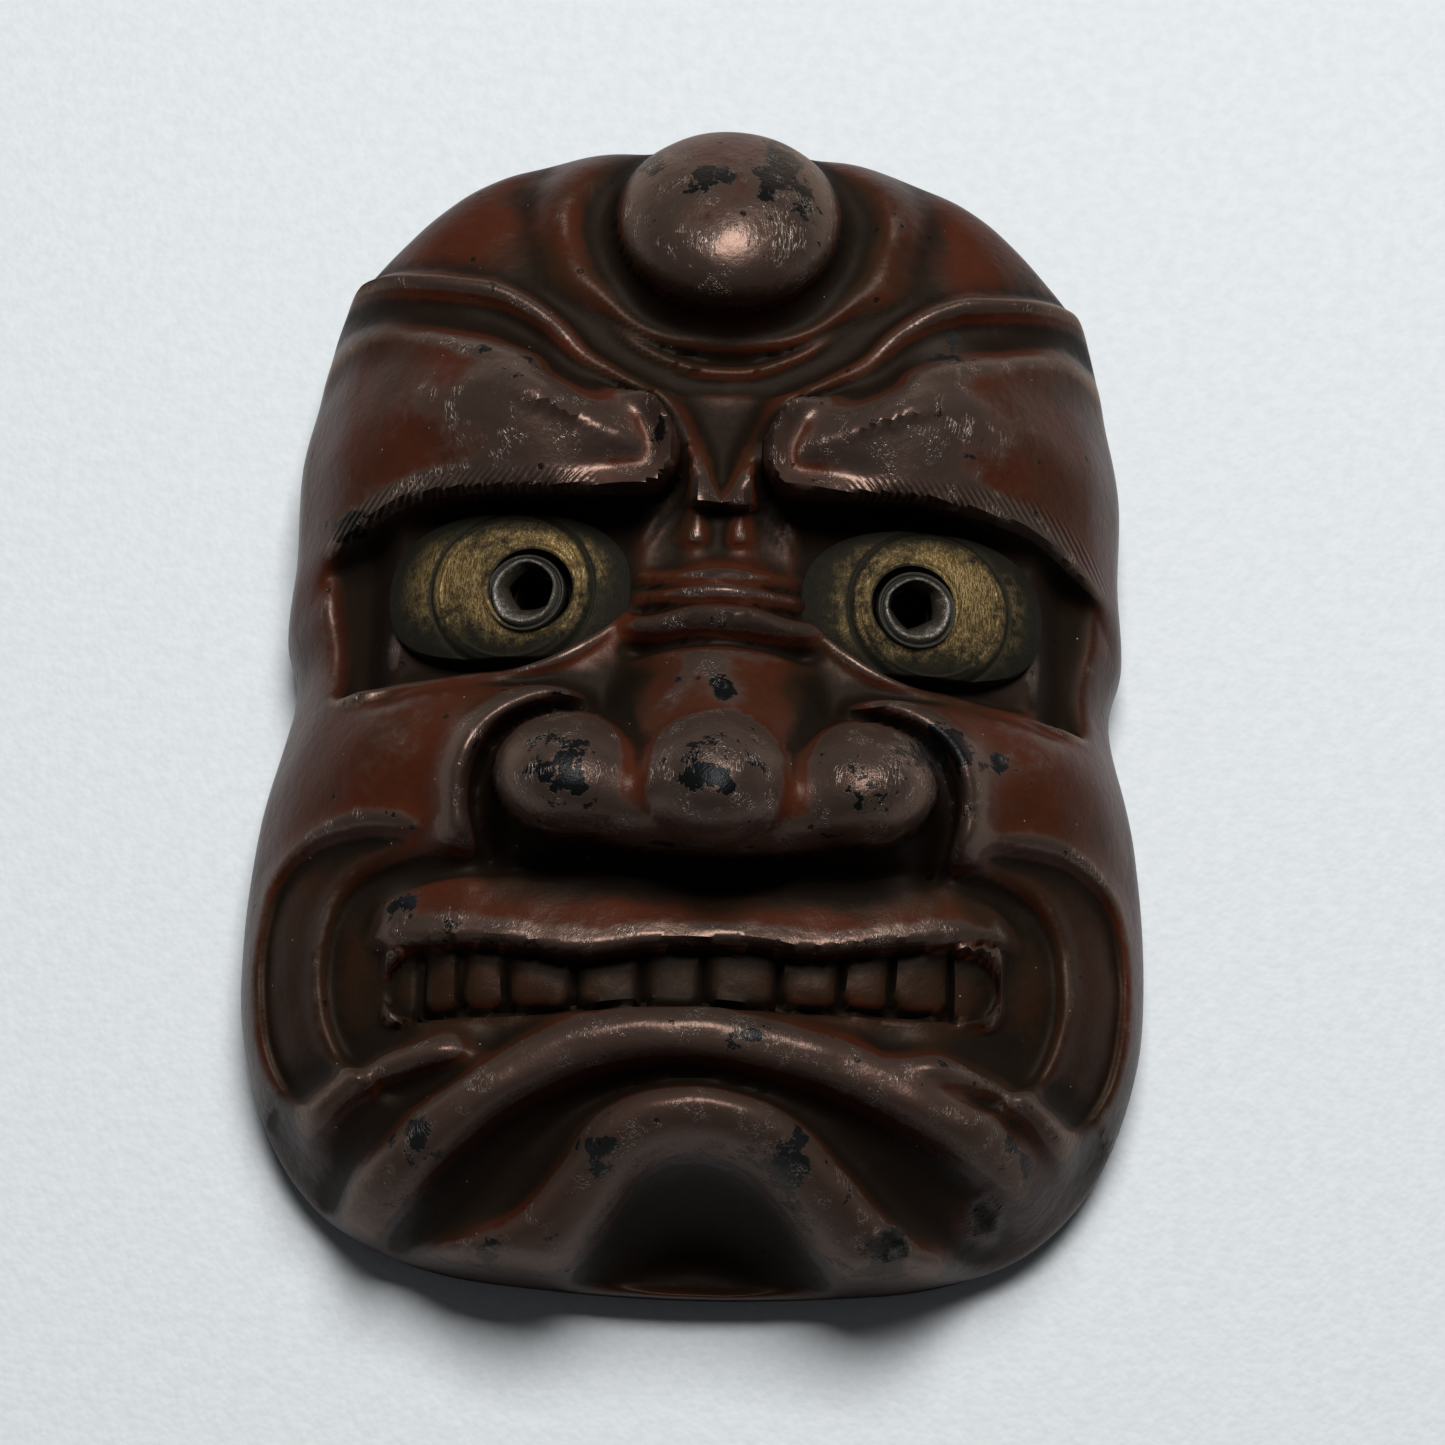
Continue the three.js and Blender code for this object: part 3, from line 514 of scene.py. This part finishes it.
angle = np.linspace(0, 2 * math.pi, 48, endpoint=False)
bores = []
for eye, (_, _, _, pupil) in EYES.items():
    bore_x, bore_y = pupil[0] + BORE * np.cos(angle), pupil[1] + BORE * np.sin(angle)
    ring = np.column_stack([bore_x, bore_y, np.zeros(len(angle))])
    bores.append(tube([in_eye(eye, ring + [0, 0, z]) for z in (BORE_BACK, BORE_FRONT)]))
bar_low, bar_high = (np.array(corner) * 1000 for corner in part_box("cord_bar"))
bar_level = (bar_low[2] + bar_high[2]) / 2
slot_radius = BAR_RADIUS + BAR_GAP
half_turn = np.linspace(0, math.pi, 24)
arch = np.column_stack([slot_radius * np.cos(half_turn), slot_radius * np.sin(half_turn) + bar_level])
slot = np.vstack([arch, [(-slot_radius, -1), (slot_radius, -1)]])
slot_ends = [bar_low[0] - BAR_GAP, bar_high[0] + BAR_GAP]
slot_y = slot[:, 0] + BAR_Y * stretch[1]
bores.append(tube([np.column_stack([np.full(len(slot), end), slot_y, slot[:, 1]]) for end in slot_ends]))


class Wire:
    """One socket of a material's node tree. Arithmetic on wires adds Math nodes, add() any other node."""

    def __init__(self, tree, socket):
        self.tree, self.socket = tree, socket

    def add(self, kind, settings, sockets, output=0):
        """Add a node: its settings first, then its sockets, each from a number, a colour or a wire."""
        node = self.tree.nodes.new(kind)
        for name, value in settings.items():
            setattr(node, name, value)
        for name, value in sockets.items():
            if isinstance(value, Wire):
                self.tree.links.new(value.socket, node.inputs[name])
            else:
                node.inputs[name].default_value = value
        return Wire(self.tree, node.outputs[output])

    def maths(self, operation, *others):
        return self.add("ShaderNodeMath", {"operation": operation}, dict(enumerate((self, *others))))

    def __add__(self, other):
        return self.maths("ADD", other)

    __radd__ = __add__

    def __sub__(self, other):
        return self.maths("SUBTRACT", other)

    def __rsub__(self, other):
        return self.maths("MULTIPLY_ADD", -1, other)

    def __mul__(self, other):
        return self.maths("MULTIPLY", other)

    __rmul__ = __mul__

    def ramp(self, low, high):
        """0 below low and 1 above high, with a smooth rise between."""
        sockets = {"Value": self, "From Min": low, "From Max": high}
        return self.add("ShaderNodeMapRange", {"interpolation_type": "SMOOTHSTEP"}, sockets)

    def noise(self, millimetres, detail=3.0, rough=0.55):
        """Noise on these coordinates, which are in metres, with lumps of about this size."""
        sockets = {"Vector": self, "Scale": 1000 / millimetres, "Detail": detail, "Roughness": rough}
        return self.add("ShaderNodeTexNoise", {}, sockets)

    def cells(self, millimetres, output=0):
        """Voronoi cells of about this size: the distance to a cell's middle, or its own random colour."""
        sockets = {"Vector": self, "Scale": 1000 / millimetres}
        return self.add("ShaderNodeTexVoronoi", {}, sockets, output)

    def attribute(self, name):
        """One of the numbers that write_values kept on the piece."""
        return self.add("ShaderNodeAttribute", {"attribute_name": name}, {}, 2)

    def blend(self, first, second):
        """A colour between two others, with this as the share of the second."""
        return self.add("ShaderNodeMix", {"data_type": "RGBA"}, {0: self, 6: first, 7: second}, 2)

    def stretched(self, turn, along):
        """The coordinates turned about Z and then drawn out, so that a noise on them makes streaks."""
        sockets = {"Vector": self, "Rotation": (0, 0, turn), "Scale": (1, along, 1)}
        return self.add("ShaderNodeMapping", {}, sockets)

    def part(self, axis):
        """One of the three coordinates, X, Y or Z."""
        return self.add("ShaderNodeSeparateXYZ", {}, {"Vector": self}, "XYZ".index(axis))

    def tint(self, share, other):
        """This colour blended with another by a share from 0 to 1."""
        return self.add("ShaderNodeMix", {"data_type": "RGBA"}, {0: share, 6: self, 7: other}, 2)


def start_material(name):
    """A new material, its shader node, and its object coordinates as a wire."""
    material = bpy.data.materials.new(name)
    material.use_nodes = True
    tree = material.node_tree
    place = tree.nodes.new("ShaderNodeTexCoord").outputs["Object"]
    return material, tree.nodes["Principled BSDF"], Wire(tree, place)


def finish_material(shader, place, colour, rough, height):
    """Link colour, roughness and a bump whose height is in millimetres."""
    tree = place.tree
    bump = place.add("ShaderNodeBump", {}, {"Strength": 1.0, "Distance": 0.001, "Height": height})
    tree.links.new(colour.socket, shader.inputs["Base Color"])
    tree.links.new(rough.socket, shader.inputs["Roughness"])
    tree.links.new(bump.socket, shader.inputs["Normal"])


def streaks(place, turn, across, length, thin):
    """Hairline scratches: where a drawn-out noise crosses its middle value."""
    wave = place.stretched(turn, across / length).noise(across, 1.0)
    return 1 - (wave - 0.5).maths("ABSOLUTE").ramp(0, thin)


HAIR_PITCH = 0.00025
WARM_SHEEN = (1.0, 0.80, 0.68, 1)


def lacquer():
    """Red-brown lacquer on a black undercoat, rubbed through on the high places and darker in the low, with
    painted shade in the eye sockets and on places that face the chin.
    """
    material, shader, place = start_material("worn_red_lacquer")
    fine, wide, hairs = (place.attribute(name) for name in ("hollow_fine", "hollow_wide", "hair"))
    patches, chipped, grimy = (place.attribute(name) for name in ("flaked", "chipped", "grimy"))
    socket_shade, under, behind = (place.attribute(name) for name in ("socket_shade", "under", "back"))
    cloud, grain, speck = place.noise(4.0), place.noise(0.5, 4.0), place.noise(0.12, 3.0, 0.7)
    low = (fine * 2.2 + wide * 0.6 + grain * 0.5 - under * 0.3).ramp(0.35, 0.95)
    high = (fine * -2.4 - wide * 0.7 + grain * 0.6 + patches * 0.25).ramp(0.48, 1.05)
    # Darker and less glossy the nearer a place is to the chin.
    chinward = (place.part("Y") * -1000).ramp(10, 20)
    dull = (wide * 0.8 + cloud * 1.3 - under * 0.8 + grimy * 0.55 + chinward * 0.3).ramp(0.6, 1.1)
    flaked = (place.noise(1.5, 6.0, 0.68) + high * 0.08 + patches * 0.26 + cloud * 0.2).ramp(0.81, 0.83)
    hairline = streaks(place, 0.5, 0.18, 1.1, 0.035).maths("MAXIMUM", streaks(place, -0.9, 0.2, 0.9, 0.03))
    hairline = hairline * place.noise(1.1).ramp(0.5, 0.65) * high
    gloss = (high * high * 0.9 + patches * 0.45).maths("MINIMUM", 1) * (1 - chinward * 0.45)
    cell, chosen = place.cells(1.1), place.cells(1.1, 1)
    pit = (1 - (cell + speck * 0.15).ramp(0.15, 0.22)) * chosen.part("X").ramp(0.8, 0.82)
    dust = (1 - place.cells(0.4).ramp(0.07, 0.11)) * place.cells(0.4, 1).part("Y").ramp(0.95, 0.96)
    red = cloud.ramp(0.35, 0.65).blend((0.050, 0.0118, 0.0052, 1), (0.036, 0.0125, 0.0058, 1))
    colour = red.tint(grain.ramp(0.35, 0.75) * 0.35, (0.056, 0.018, 0.0095, 1))
    colour = colour.tint(dull * 0.72, (0.0130, 0.0080, 0.0040, 1))
    # Painted shade: places that face the chin get a darker, deeper red.
    colour = colour.tint(under * 0.5, (0.026, 0.0050, 0.0022, 1))
    colour = colour.tint(chinward * 0.4, (0.0080, 0.0040, 0.0024, 1))
    # The low places go near black, and so do the eye sockets, there as painted shade.
    colour = colour.tint(low.maths("MAXIMUM", socket_shade) * 0.88, (0.0045, 0.0030, 0.0018, 1))
    colour = colour.tint(gloss * 0.55, (0.150, 0.112, 0.092, 1))
    colour = colour.tint(flaked, (0.012, 0.013, 0.014, 1))
    colour = colour.tint(pit * 0.85, (0.005, 0.004, 0.004, 1))
    colour = colour.tint(chipped * grain.ramp(0.3, 0.6), (0.035, 0.033, 0.031, 1))
    colour = colour.tint(hairline * gloss * 0.8, (0.26, 0.22, 0.19, 1))
    colour = colour.tint(dust * 0.5, (0.30, 0.28, 0.25, 1))
    colour = colour.tint(behind * 0.8, (0.012, 0.009, 0.007, 1))
    brow_x = (place.part("X") - UPPER_SHIFT * 0.001).maths("ABSOLUTE")
    slant = brow_x * 0.8 + place.part("Y") * 0.6 + grain * 0.00012
    cut = (slant * (2 * math.pi / HAIR_PITCH)).maths("SINE")
    colour = colour.tint(hairs * cut.ramp(0.2, -0.8) * 0.5, (0.008, 0.006, 0.005, 1))
    rough = 0.24 + speck * 0.14 + grain * 0.06 + low * 0.2 + socket_shade * 0.3 + dull * 0.1 + behind * 0.1
    height = speck * 0.009 + grain * 0.030 + place.noise(1.6) * 0.04 - pit * 0.05 - flaked * 0.010
    height = height + hairs * cut * 0.020 + hairline * 0.016 + chipped * speck * 0.1
    height = height + patches * high * speck * 0.03
    finish_material(shader, place, colour, rough, height)
    place.tree.links.new((gloss * 0.75).socket, shader.inputs["Metallic"])
    shader.inputs["IOR"].default_value = 1.22
    shader.inputs["Specular Tint"].default_value = WARM_SHEEN
    return material


def black_lacquer():
    """Thin black lacquer over wood, whose grain runs along the bar and shows brown where it is rubbed."""
    material, shader, place = start_material("black_lacquer")
    grain = place.stretched(math.pi / 2, 0.05).noise(0.4, 4.0)
    worn = place.noise(1.4, 4.0).ramp(0.52, 0.68)
    base = grain.blend((0.010, 0.008, 0.007, 1), (0.022, 0.016, 0.012, 1))
    colour = base.tint(worn * 0.5, (0.06, 0.028, 0.016, 1))
    finish_material(shader, place, colour, 0.38 + grain * 0.2, grain * 0.03)
    return material


black = black_lacquer()
shell.data.materials.append(lacquer())
cut_away(shell, bores, black)
shell.data.shade_smooth()
shell.data.set_sharp_from_angle(angle=math.radians(62))
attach(shell, "root")
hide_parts("mask_shell")


# ---- the gilt eye plates, let into the sockets ----
# Each eye is a domed metal plate, gilt and tarnished, with the disc of the iris raised on it by a cut
# ring and a seat for the pupil's collar. It is glued into its socket before the collar goes in.

EYE_HALF_WIDTH, EYE_HALF_HEIGHT = 5.0, 3.1
EYE_DOME, EYE_SKIRT = 1.5, 1.3
PUPIL_RADIUS, COLLAR_RADIUS = 0.95, 1.6
IRIS_RADIUS = 3.2
IRIS_CENTRE = {"left": (0.3, -0.2), "right": (0.1, -0.2)}
PLATE_POWER = 2.6
SEAT_GAP, SEAT_DEPTH = 0.06, 0.2


def plate_edge(x, y):
    """1 on the edge of the plate, less inside it: a superellipse, whose two powers add up."""
    return np.abs(x / EYE_HALF_WIDTH) ** PLATE_POWER + np.abs(y / EYE_HALF_HEIGHT) ** PLATE_POWER


def almond_reach(direction, start):
    """Distance from a start point to the plate's edge along each direction, found by halving."""
    low, high = np.zeros(len(direction)), np.full(len(direction), 2 * EYE_HALF_WIDTH)
    for _ in range(40):
        middle = (low + high) / 2
        x, y = start[0] + middle * np.cos(direction), start[1] + middle * np.sin(direction)
        inside = plate_edge(x, y) < 1
        low, high = np.where(inside, middle, low), np.where(inside, high, middle)
    return low


def plate_height(x, y, iris, pupil):
    """A sphere's cap, with the iris a low disc inside a cut ring, and a raised band round the collar."""
    sphere = (EYE_HALF_WIDTH**2 + EYE_DOME**2) / (2 * EYE_DOME)
    cap = np.sqrt(sphere**2 - x**2 - y**2) - sphere + EYE_DOME
    out = np.hypot(x - iris[0], y - iris[1]) - IRIS_RADIUS
    near = np.hypot(x - pupil[0], y - pupil[1]) - COLLAR_RADIUS
    disc = 0.09 * ramp(-out, 0, 0.12) - 0.11 * bell(out - 0.1, 0.08) + 0.05 * bell(out + 0.35, 0.06)
    return cap + disc + 0.07 * bell(near - 0.2, 0.12)


def closed_skin(count, rings):
    """Quads between rings of equal count, the last ring joined back to the first."""
    ring = np.arange(count)
    skin = []
    for k in range(rings):
        near, beyond = ring + k * count, ring + (k + 1) % rings * count
        skin += np.column_stack([near, beyond, np.roll(beyond, -1), np.roll(near, -1)]).tolist()
    return skin


def eye_plate(eye):
    """Rings from the collar's seat out to the almond edge, then down the skirt and back under to the bore."""
    pupil = EYES[eye][3]
    iris = IRIS_CENTRE[eye]
    turn = np.linspace(0, 2 * math.pi, 160, endpoint=False)
    far = almond_reach(turn, pupil)
    rings = []
    for part in np.linspace(0, 1, 110):
        r = (COLLAR_RADIUS + SEAT_GAP) * (1 - part) + (far - 0.06) * part
        x, y = pupil[0] + r * np.cos(turn), pupil[1] + r * np.sin(turn)
        rings.append(np.column_stack([x, y, plate_height(x, y, iris, pupil)]))
    edge_x, edge_y = pupil[0] + far * np.cos(turn), pupil[1] + far * np.sin(turn)
    rim = plate_height(edge_x, edge_y, iris, pupil)
    rings.append(np.column_stack([edge_x, edge_y, rim - 0.08]))
    rings.append(np.column_stack([edge_x, edge_y, np.full(len(turn), -EYE_SKIRT)]))
    bore, seat = PUPIL_RADIUS + 0.02, COLLAR_RADIUS + SEAT_GAP
    for radius, z in ((bore, -EYE_SKIRT), (bore, -SEAT_DEPTH), (seat, -SEAT_DEPTH)):
        x, y = pupil[0] + radius * np.cos(turn), pupil[1] + radius * np.sin(turn)
        rings.append(np.column_stack([x, y, np.full(len(turn), z)]))
    points = np.vstack(rings)
    piece = make_mesh(eye + "_gilt_eye", in_eye(eye, points), closed_skin(len(turn), len(rings)))
    out = np.hypot(points[:, 0] - iris[0], points[:, 1] - iris[1]) - IRIS_RADIUS
    near = np.hypot(points[:, 0] - pupil[0], points[:, 1] - pupil[1]) - COLLAR_RADIUS
    seat_dark = np.maximum(0.8 * bell(near, 0.12), near < 0.01)
    write_values(piece, "groove", np.maximum(bell(out - 0.1, 0.12), seat_dark))
    write_values(piece, "edge", plate_edge(points[:, 0], points[:, 1]))
    piece.data.set_sharp_from_angle(angle=math.radians(40))
    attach(piece, "root")
    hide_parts(eye + "_eye")
    return piece


def tarnished_gilt():
    """Mottled gold rubbed thin, with olive tarnish between, more of it at the edge and in the cut rings."""
    material, shader, place = start_material("tarnished_gilt")
    groove, edge = place.attribute("groove"), place.attribute("edge")
    broad, grain, speck = place.noise(2.6, 4.0), place.noise(0.45, 5.0, 0.65), place.noise(0.09, 3.0, 0.7)
    fibre = streaks(place, 0.9, 0.12, 0.5, 0.05).maths("MAXIMUM", streaks(place, -0.6, 0.14, 0.6, 0.05))
    gold = (broad * 0.9 + grain * 0.9 + speck * 0.4 - edge * 0.5 - groove * 0.5).ramp(0.72, 1.18)
    tarnish = grain.ramp(0.35, 0.7).blend((0.008, 0.0075, 0.0045, 1), (0.030, 0.025, 0.0125, 1))
    colour = tarnish.tint(gold * 0.9, (0.115, 0.072, 0.025, 1))
    colour = colour.tint(gold * fibre * 0.6, (0.34, 0.25, 0.12, 1))
    colour = colour.tint(speck.ramp(0.62, 0.75) * 0.6, (0.03, 0.026, 0.014, 1))
    colour = colour.tint(groove * 0.85, (0.012, 0.012, 0.008, 1))
    colour = colour.tint((edge + grain * 0.5).ramp(0.55, 1.1) * 0.9, (0.006, 0.006, 0.004, 1))
    rough = 0.55 - gold * 0.14 + speck * 0.2
    height = grain * 0.03 + speck * 0.014 - fibre * 0.006 + broad * 0.04
    finish_material(shader, place, colour, rough, height)
    place.tree.links.new((gold * 0.75).socket, shader.inputs["Metallic"])
    shader.inputs["IOR"].default_value = 1.22
    shader.inputs["Specular Tint"].default_value = WARM_SHEEN
    return material


gilt = tarnished_gilt()
for eye in EYES:
    eye_plate(eye).data.materials.append(gilt)


# ---- the pupil collars ----
# A short metal tube round each drilled pupil, with a rolled lip. The knife left the hole five-sided.
# It is pressed into its seat in the eye plate.

COLLAR_PROUD, COLLAR_HEIGHT = 0.3, 1.1
COLLAR_LIP, COLLAR_GROOVE = 1.26, 1.42
COLLAR_OFFSET = {"left": (-0.2, -0.22), "right": (0.12, -0.22)}
# A place far off the plate, which gives its height without the band round the collar.
NO_BAND = (99, 99)


def collar(eye):
    """A section carried round the pupil; its inner corners follow a five-sided hole with soft corners.

    Each corner of the section is a radius, a height, and how much of the lip's offset it takes.
    """
    side, _, _, pupil = EYES[eye]
    off = COLLAR_OFFSET[eye]
    turn = np.linspace(0, 2 * math.pi, 120, endpoint=False)
    crest = plate_height(pupil[0], pupil[1], IRIS_CENTRE[eye], NO_BAND) + COLLAR_PROUD - 0.1
    fifth = 2 * math.pi / 5
    five = math.cos(fifth / 2) / np.cos((turn + side * 0.5) % fifth - fifth / 2)
    hole = PUPIL_RADIUS * (0.35 + 0.65 * five) * (1 + 0.03 * np.sin(3 * turn + side))
    wave = 0.03 * np.sin(2 * turn + side) + 0.02 * np.sin(5 * turn)
    foot = crest - COLLAR_HEIGHT
    section = [(hole, foot, 0), (hole, crest - 0.5, 0), (hole * 0.3 + COLLAR_LIP * 0.7, crest - 0.16, 0.6),
               (COLLAR_LIP - 0.06 + wave, crest, 1), (COLLAR_LIP + 0.06 + wave, crest - 0.02, 1),
               (COLLAR_GROOVE - 0.04, crest - 0.28, 1), (COLLAR_GROOVE + 0.06, crest - 0.3, 1),
               (COLLAR_RADIUS - 0.07, crest - 0.14, 1), (COLLAR_RADIUS, crest - 0.2, 1),
               (COLLAR_RADIUS, foot, 1)]
    rings = []
    for r, z, shift in section:
        x = pupil[0] + shift * off[0] + r * np.cos(turn)
        y = pupil[1] + shift * off[1] + r * np.sin(turn)
        rings.append(np.column_stack([x, y, np.full(len(turn), z)]))
    piece = make_mesh(eye + "_collar", in_eye(eye, np.vstack(rings)), closed_skin(len(turn), len(rings)))
    # How deep each corner of the section sits, and so how dark it is: grime in the ring behind the lip,
    # painted shade down the hole.
    sunk = [1, 0.7, 0.2, 0, 0.3, 1, 1, 0.45, 0.9, 1]
    write_values(piece, "sunk", np.repeat(sunk, len(turn)))
    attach(piece, "root")
    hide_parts(eye + "_pupil_collar")
    return piece


def worn_silver():
    """Dull silvery metal with brown specks, olive grime in the ring behind its lip, and painted shade down
    its hole.
    """
    material, shader, place = start_material("worn_silver")
    sunk = place.attribute("sunk")
    grain, speck = place.noise(0.3, 5.0, 0.7), place.noise(0.07, 3.0, 0.7)
    bright = (grain * 0.9 + speck * 0.7 - sunk * 0.45).ramp(0.62, 1.0)
    # Darker the deeper it sits: grime in the ring behind the lip, painted shade on the walls of the hole.
    dark = sunk.blend((0.045, 0.034, 0.022, 1), (0.007, 0.007, 0.0045, 1))
    colour = dark.tint(bright, (0.24, 0.225, 0.20, 1))
    finish_material(shader, place, colour, 0.55 - bright * 0.2, grain * 0.04 + speck * 0.02)
    place.tree.links.new((0.2 + bright * 0.6).socket, shader.inputs["Metallic"])
    shader.inputs["IOR"].default_value = 1.35
    return material


silver = worn_silver()
for eye in EYES:
    collar(eye).data.materials.append(silver)


# ---- the cord bar across the hollow back ----
# A round wooden bar, turned and blacked, whose ends are let into slots in the rim. A cord would be
# tied round it.

def cord_bar():
    """Rings along the bar, each a circle with faint knife flats, drawn in at the two ends."""
    turn = np.linspace(0, 2 * math.pi, 64, endpoint=False)
    radius = (bar_high[2] - bar_low[2]) / 2
    span = bar_high[0] - bar_low[0]
    steps = np.concatenate([[0, 0.002, 0.006], np.linspace(0.02, 0.98, 60), [0.994, 0.998, 1]])
    drawn = np.minimum(1, 0.86 + 0.14 * np.minimum(ramp(steps, 0, 0.012), ramp(1 - steps, 0, 0.012)))
    rings = []
    for at, size_here in zip(steps, drawn):
        r = radius * size_here * (1 - 0.012 * (1 + np.cos(9 * turn + 6 * at)) * 0.5)
        across, level = BAR_Y * stretch[1] + r * np.cos(turn), bar_level + r * np.sin(turn)
        rings.append(np.column_stack([np.full(len(turn), bar_low[0] + span * at), across, level]))
    piece = make_mesh("cord_bar_round", *tube(rings))
    piece.data.set_sharp_from_angle(angle=math.radians(40))
    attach(piece, "root")
    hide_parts("cord_bar")
    return piece


cord_bar().data.materials.append(black)


# ---- table, camera and light ----
# A sheet of pale pebbled paper, a close camera over the chin that looks down at the face, and one
# soft lamp overhead, towards the crown. Places are in metres.

TABLE = 0.6
sheet_corners = np.array([[-TABLE, -TABLE, 0], [TABLE, -TABLE, 0], [TABLE, TABLE, 0], [-TABLE, TABLE, 0]])
floor = make_mesh("table_top", sheet_corners * 1000, [(0, 1, 2, 3)])
pale, sheet, on_sheet = start_material("pale_sheet")
pebble = (1 - on_sheet.cells(0.3)) * 0.016 + on_sheet.noise(0.5) * 0.012
ashen = on_sheet.noise(0.6).ramp(0.3, 0.7).blend((0.595, 0.63, 0.65, 1), (0.635, 0.665, 0.68, 1))
finish_material(sheet, on_sheet, ashen, 0.55 + on_sheet.noise(0.9) * 0.1, pebble)
floor.data.materials.append(pale)

ELEVATION, DISTANCE, ROLL = 72.0, 0.18, 2.0
SENSOR, LENS = 36, 111.862
AIM = np.array([0.00084, -0.00154, 0.008])
camera_data = bpy.data.cameras.new("camera")
camera = bpy.data.objects.new("camera", camera_data)
bpy.context.scene.collection.objects.link(camera)
bpy.context.scene.camera = camera
e = math.radians(ELEVATION)
camera.location = AIM + DISTANCE * np.array([0, -math.cos(e), math.sin(e)])
camera.rotation_mode = "QUATERNION"
looking = mathutils.Euler((math.radians(90 - ELEVATION), 0, 0)).to_quaternion()
camera.rotation_quaternion = looking @ mathutils.Quaternion((0, 0, 1), math.radians(ROLL))
camera_data.sensor_width = SENSOR
camera_data.lens = LENS
camera_data.clip_start = 0.001


def lamp(name, place, target, side, watts):
    """A square soft lamp that faces its target."""
    data = bpy.data.lights.new(name, "AREA")
    data.size = side
    data.energy = watts
    light = bpy.data.objects.new(name, data)
    away = np.array(place) - np.array(target)
    flat = math.hypot(away[0], away[1])
    light.location = place
    light.rotation_euler = (math.atan2(flat, away[2]), 0, math.atan2(away[0], -away[1]))
    bpy.context.scene.collection.objects.link(light)


lamp("overhead", (0.03, 0.17, 0.44), (0, 0, 0), 0.20, 2.65)
world = bpy.data.worlds.new("room")
bpy.context.scene.world = world
world.use_nodes = True
world.node_tree.nodes["Background"].inputs["Color"].default_value = (0.92, 0.96, 1.0, 1)
world.node_tree.nodes["Background"].inputs["Strength"].default_value = 0.06

bpy.context.scene.view_settings.view_transform = "Standard"
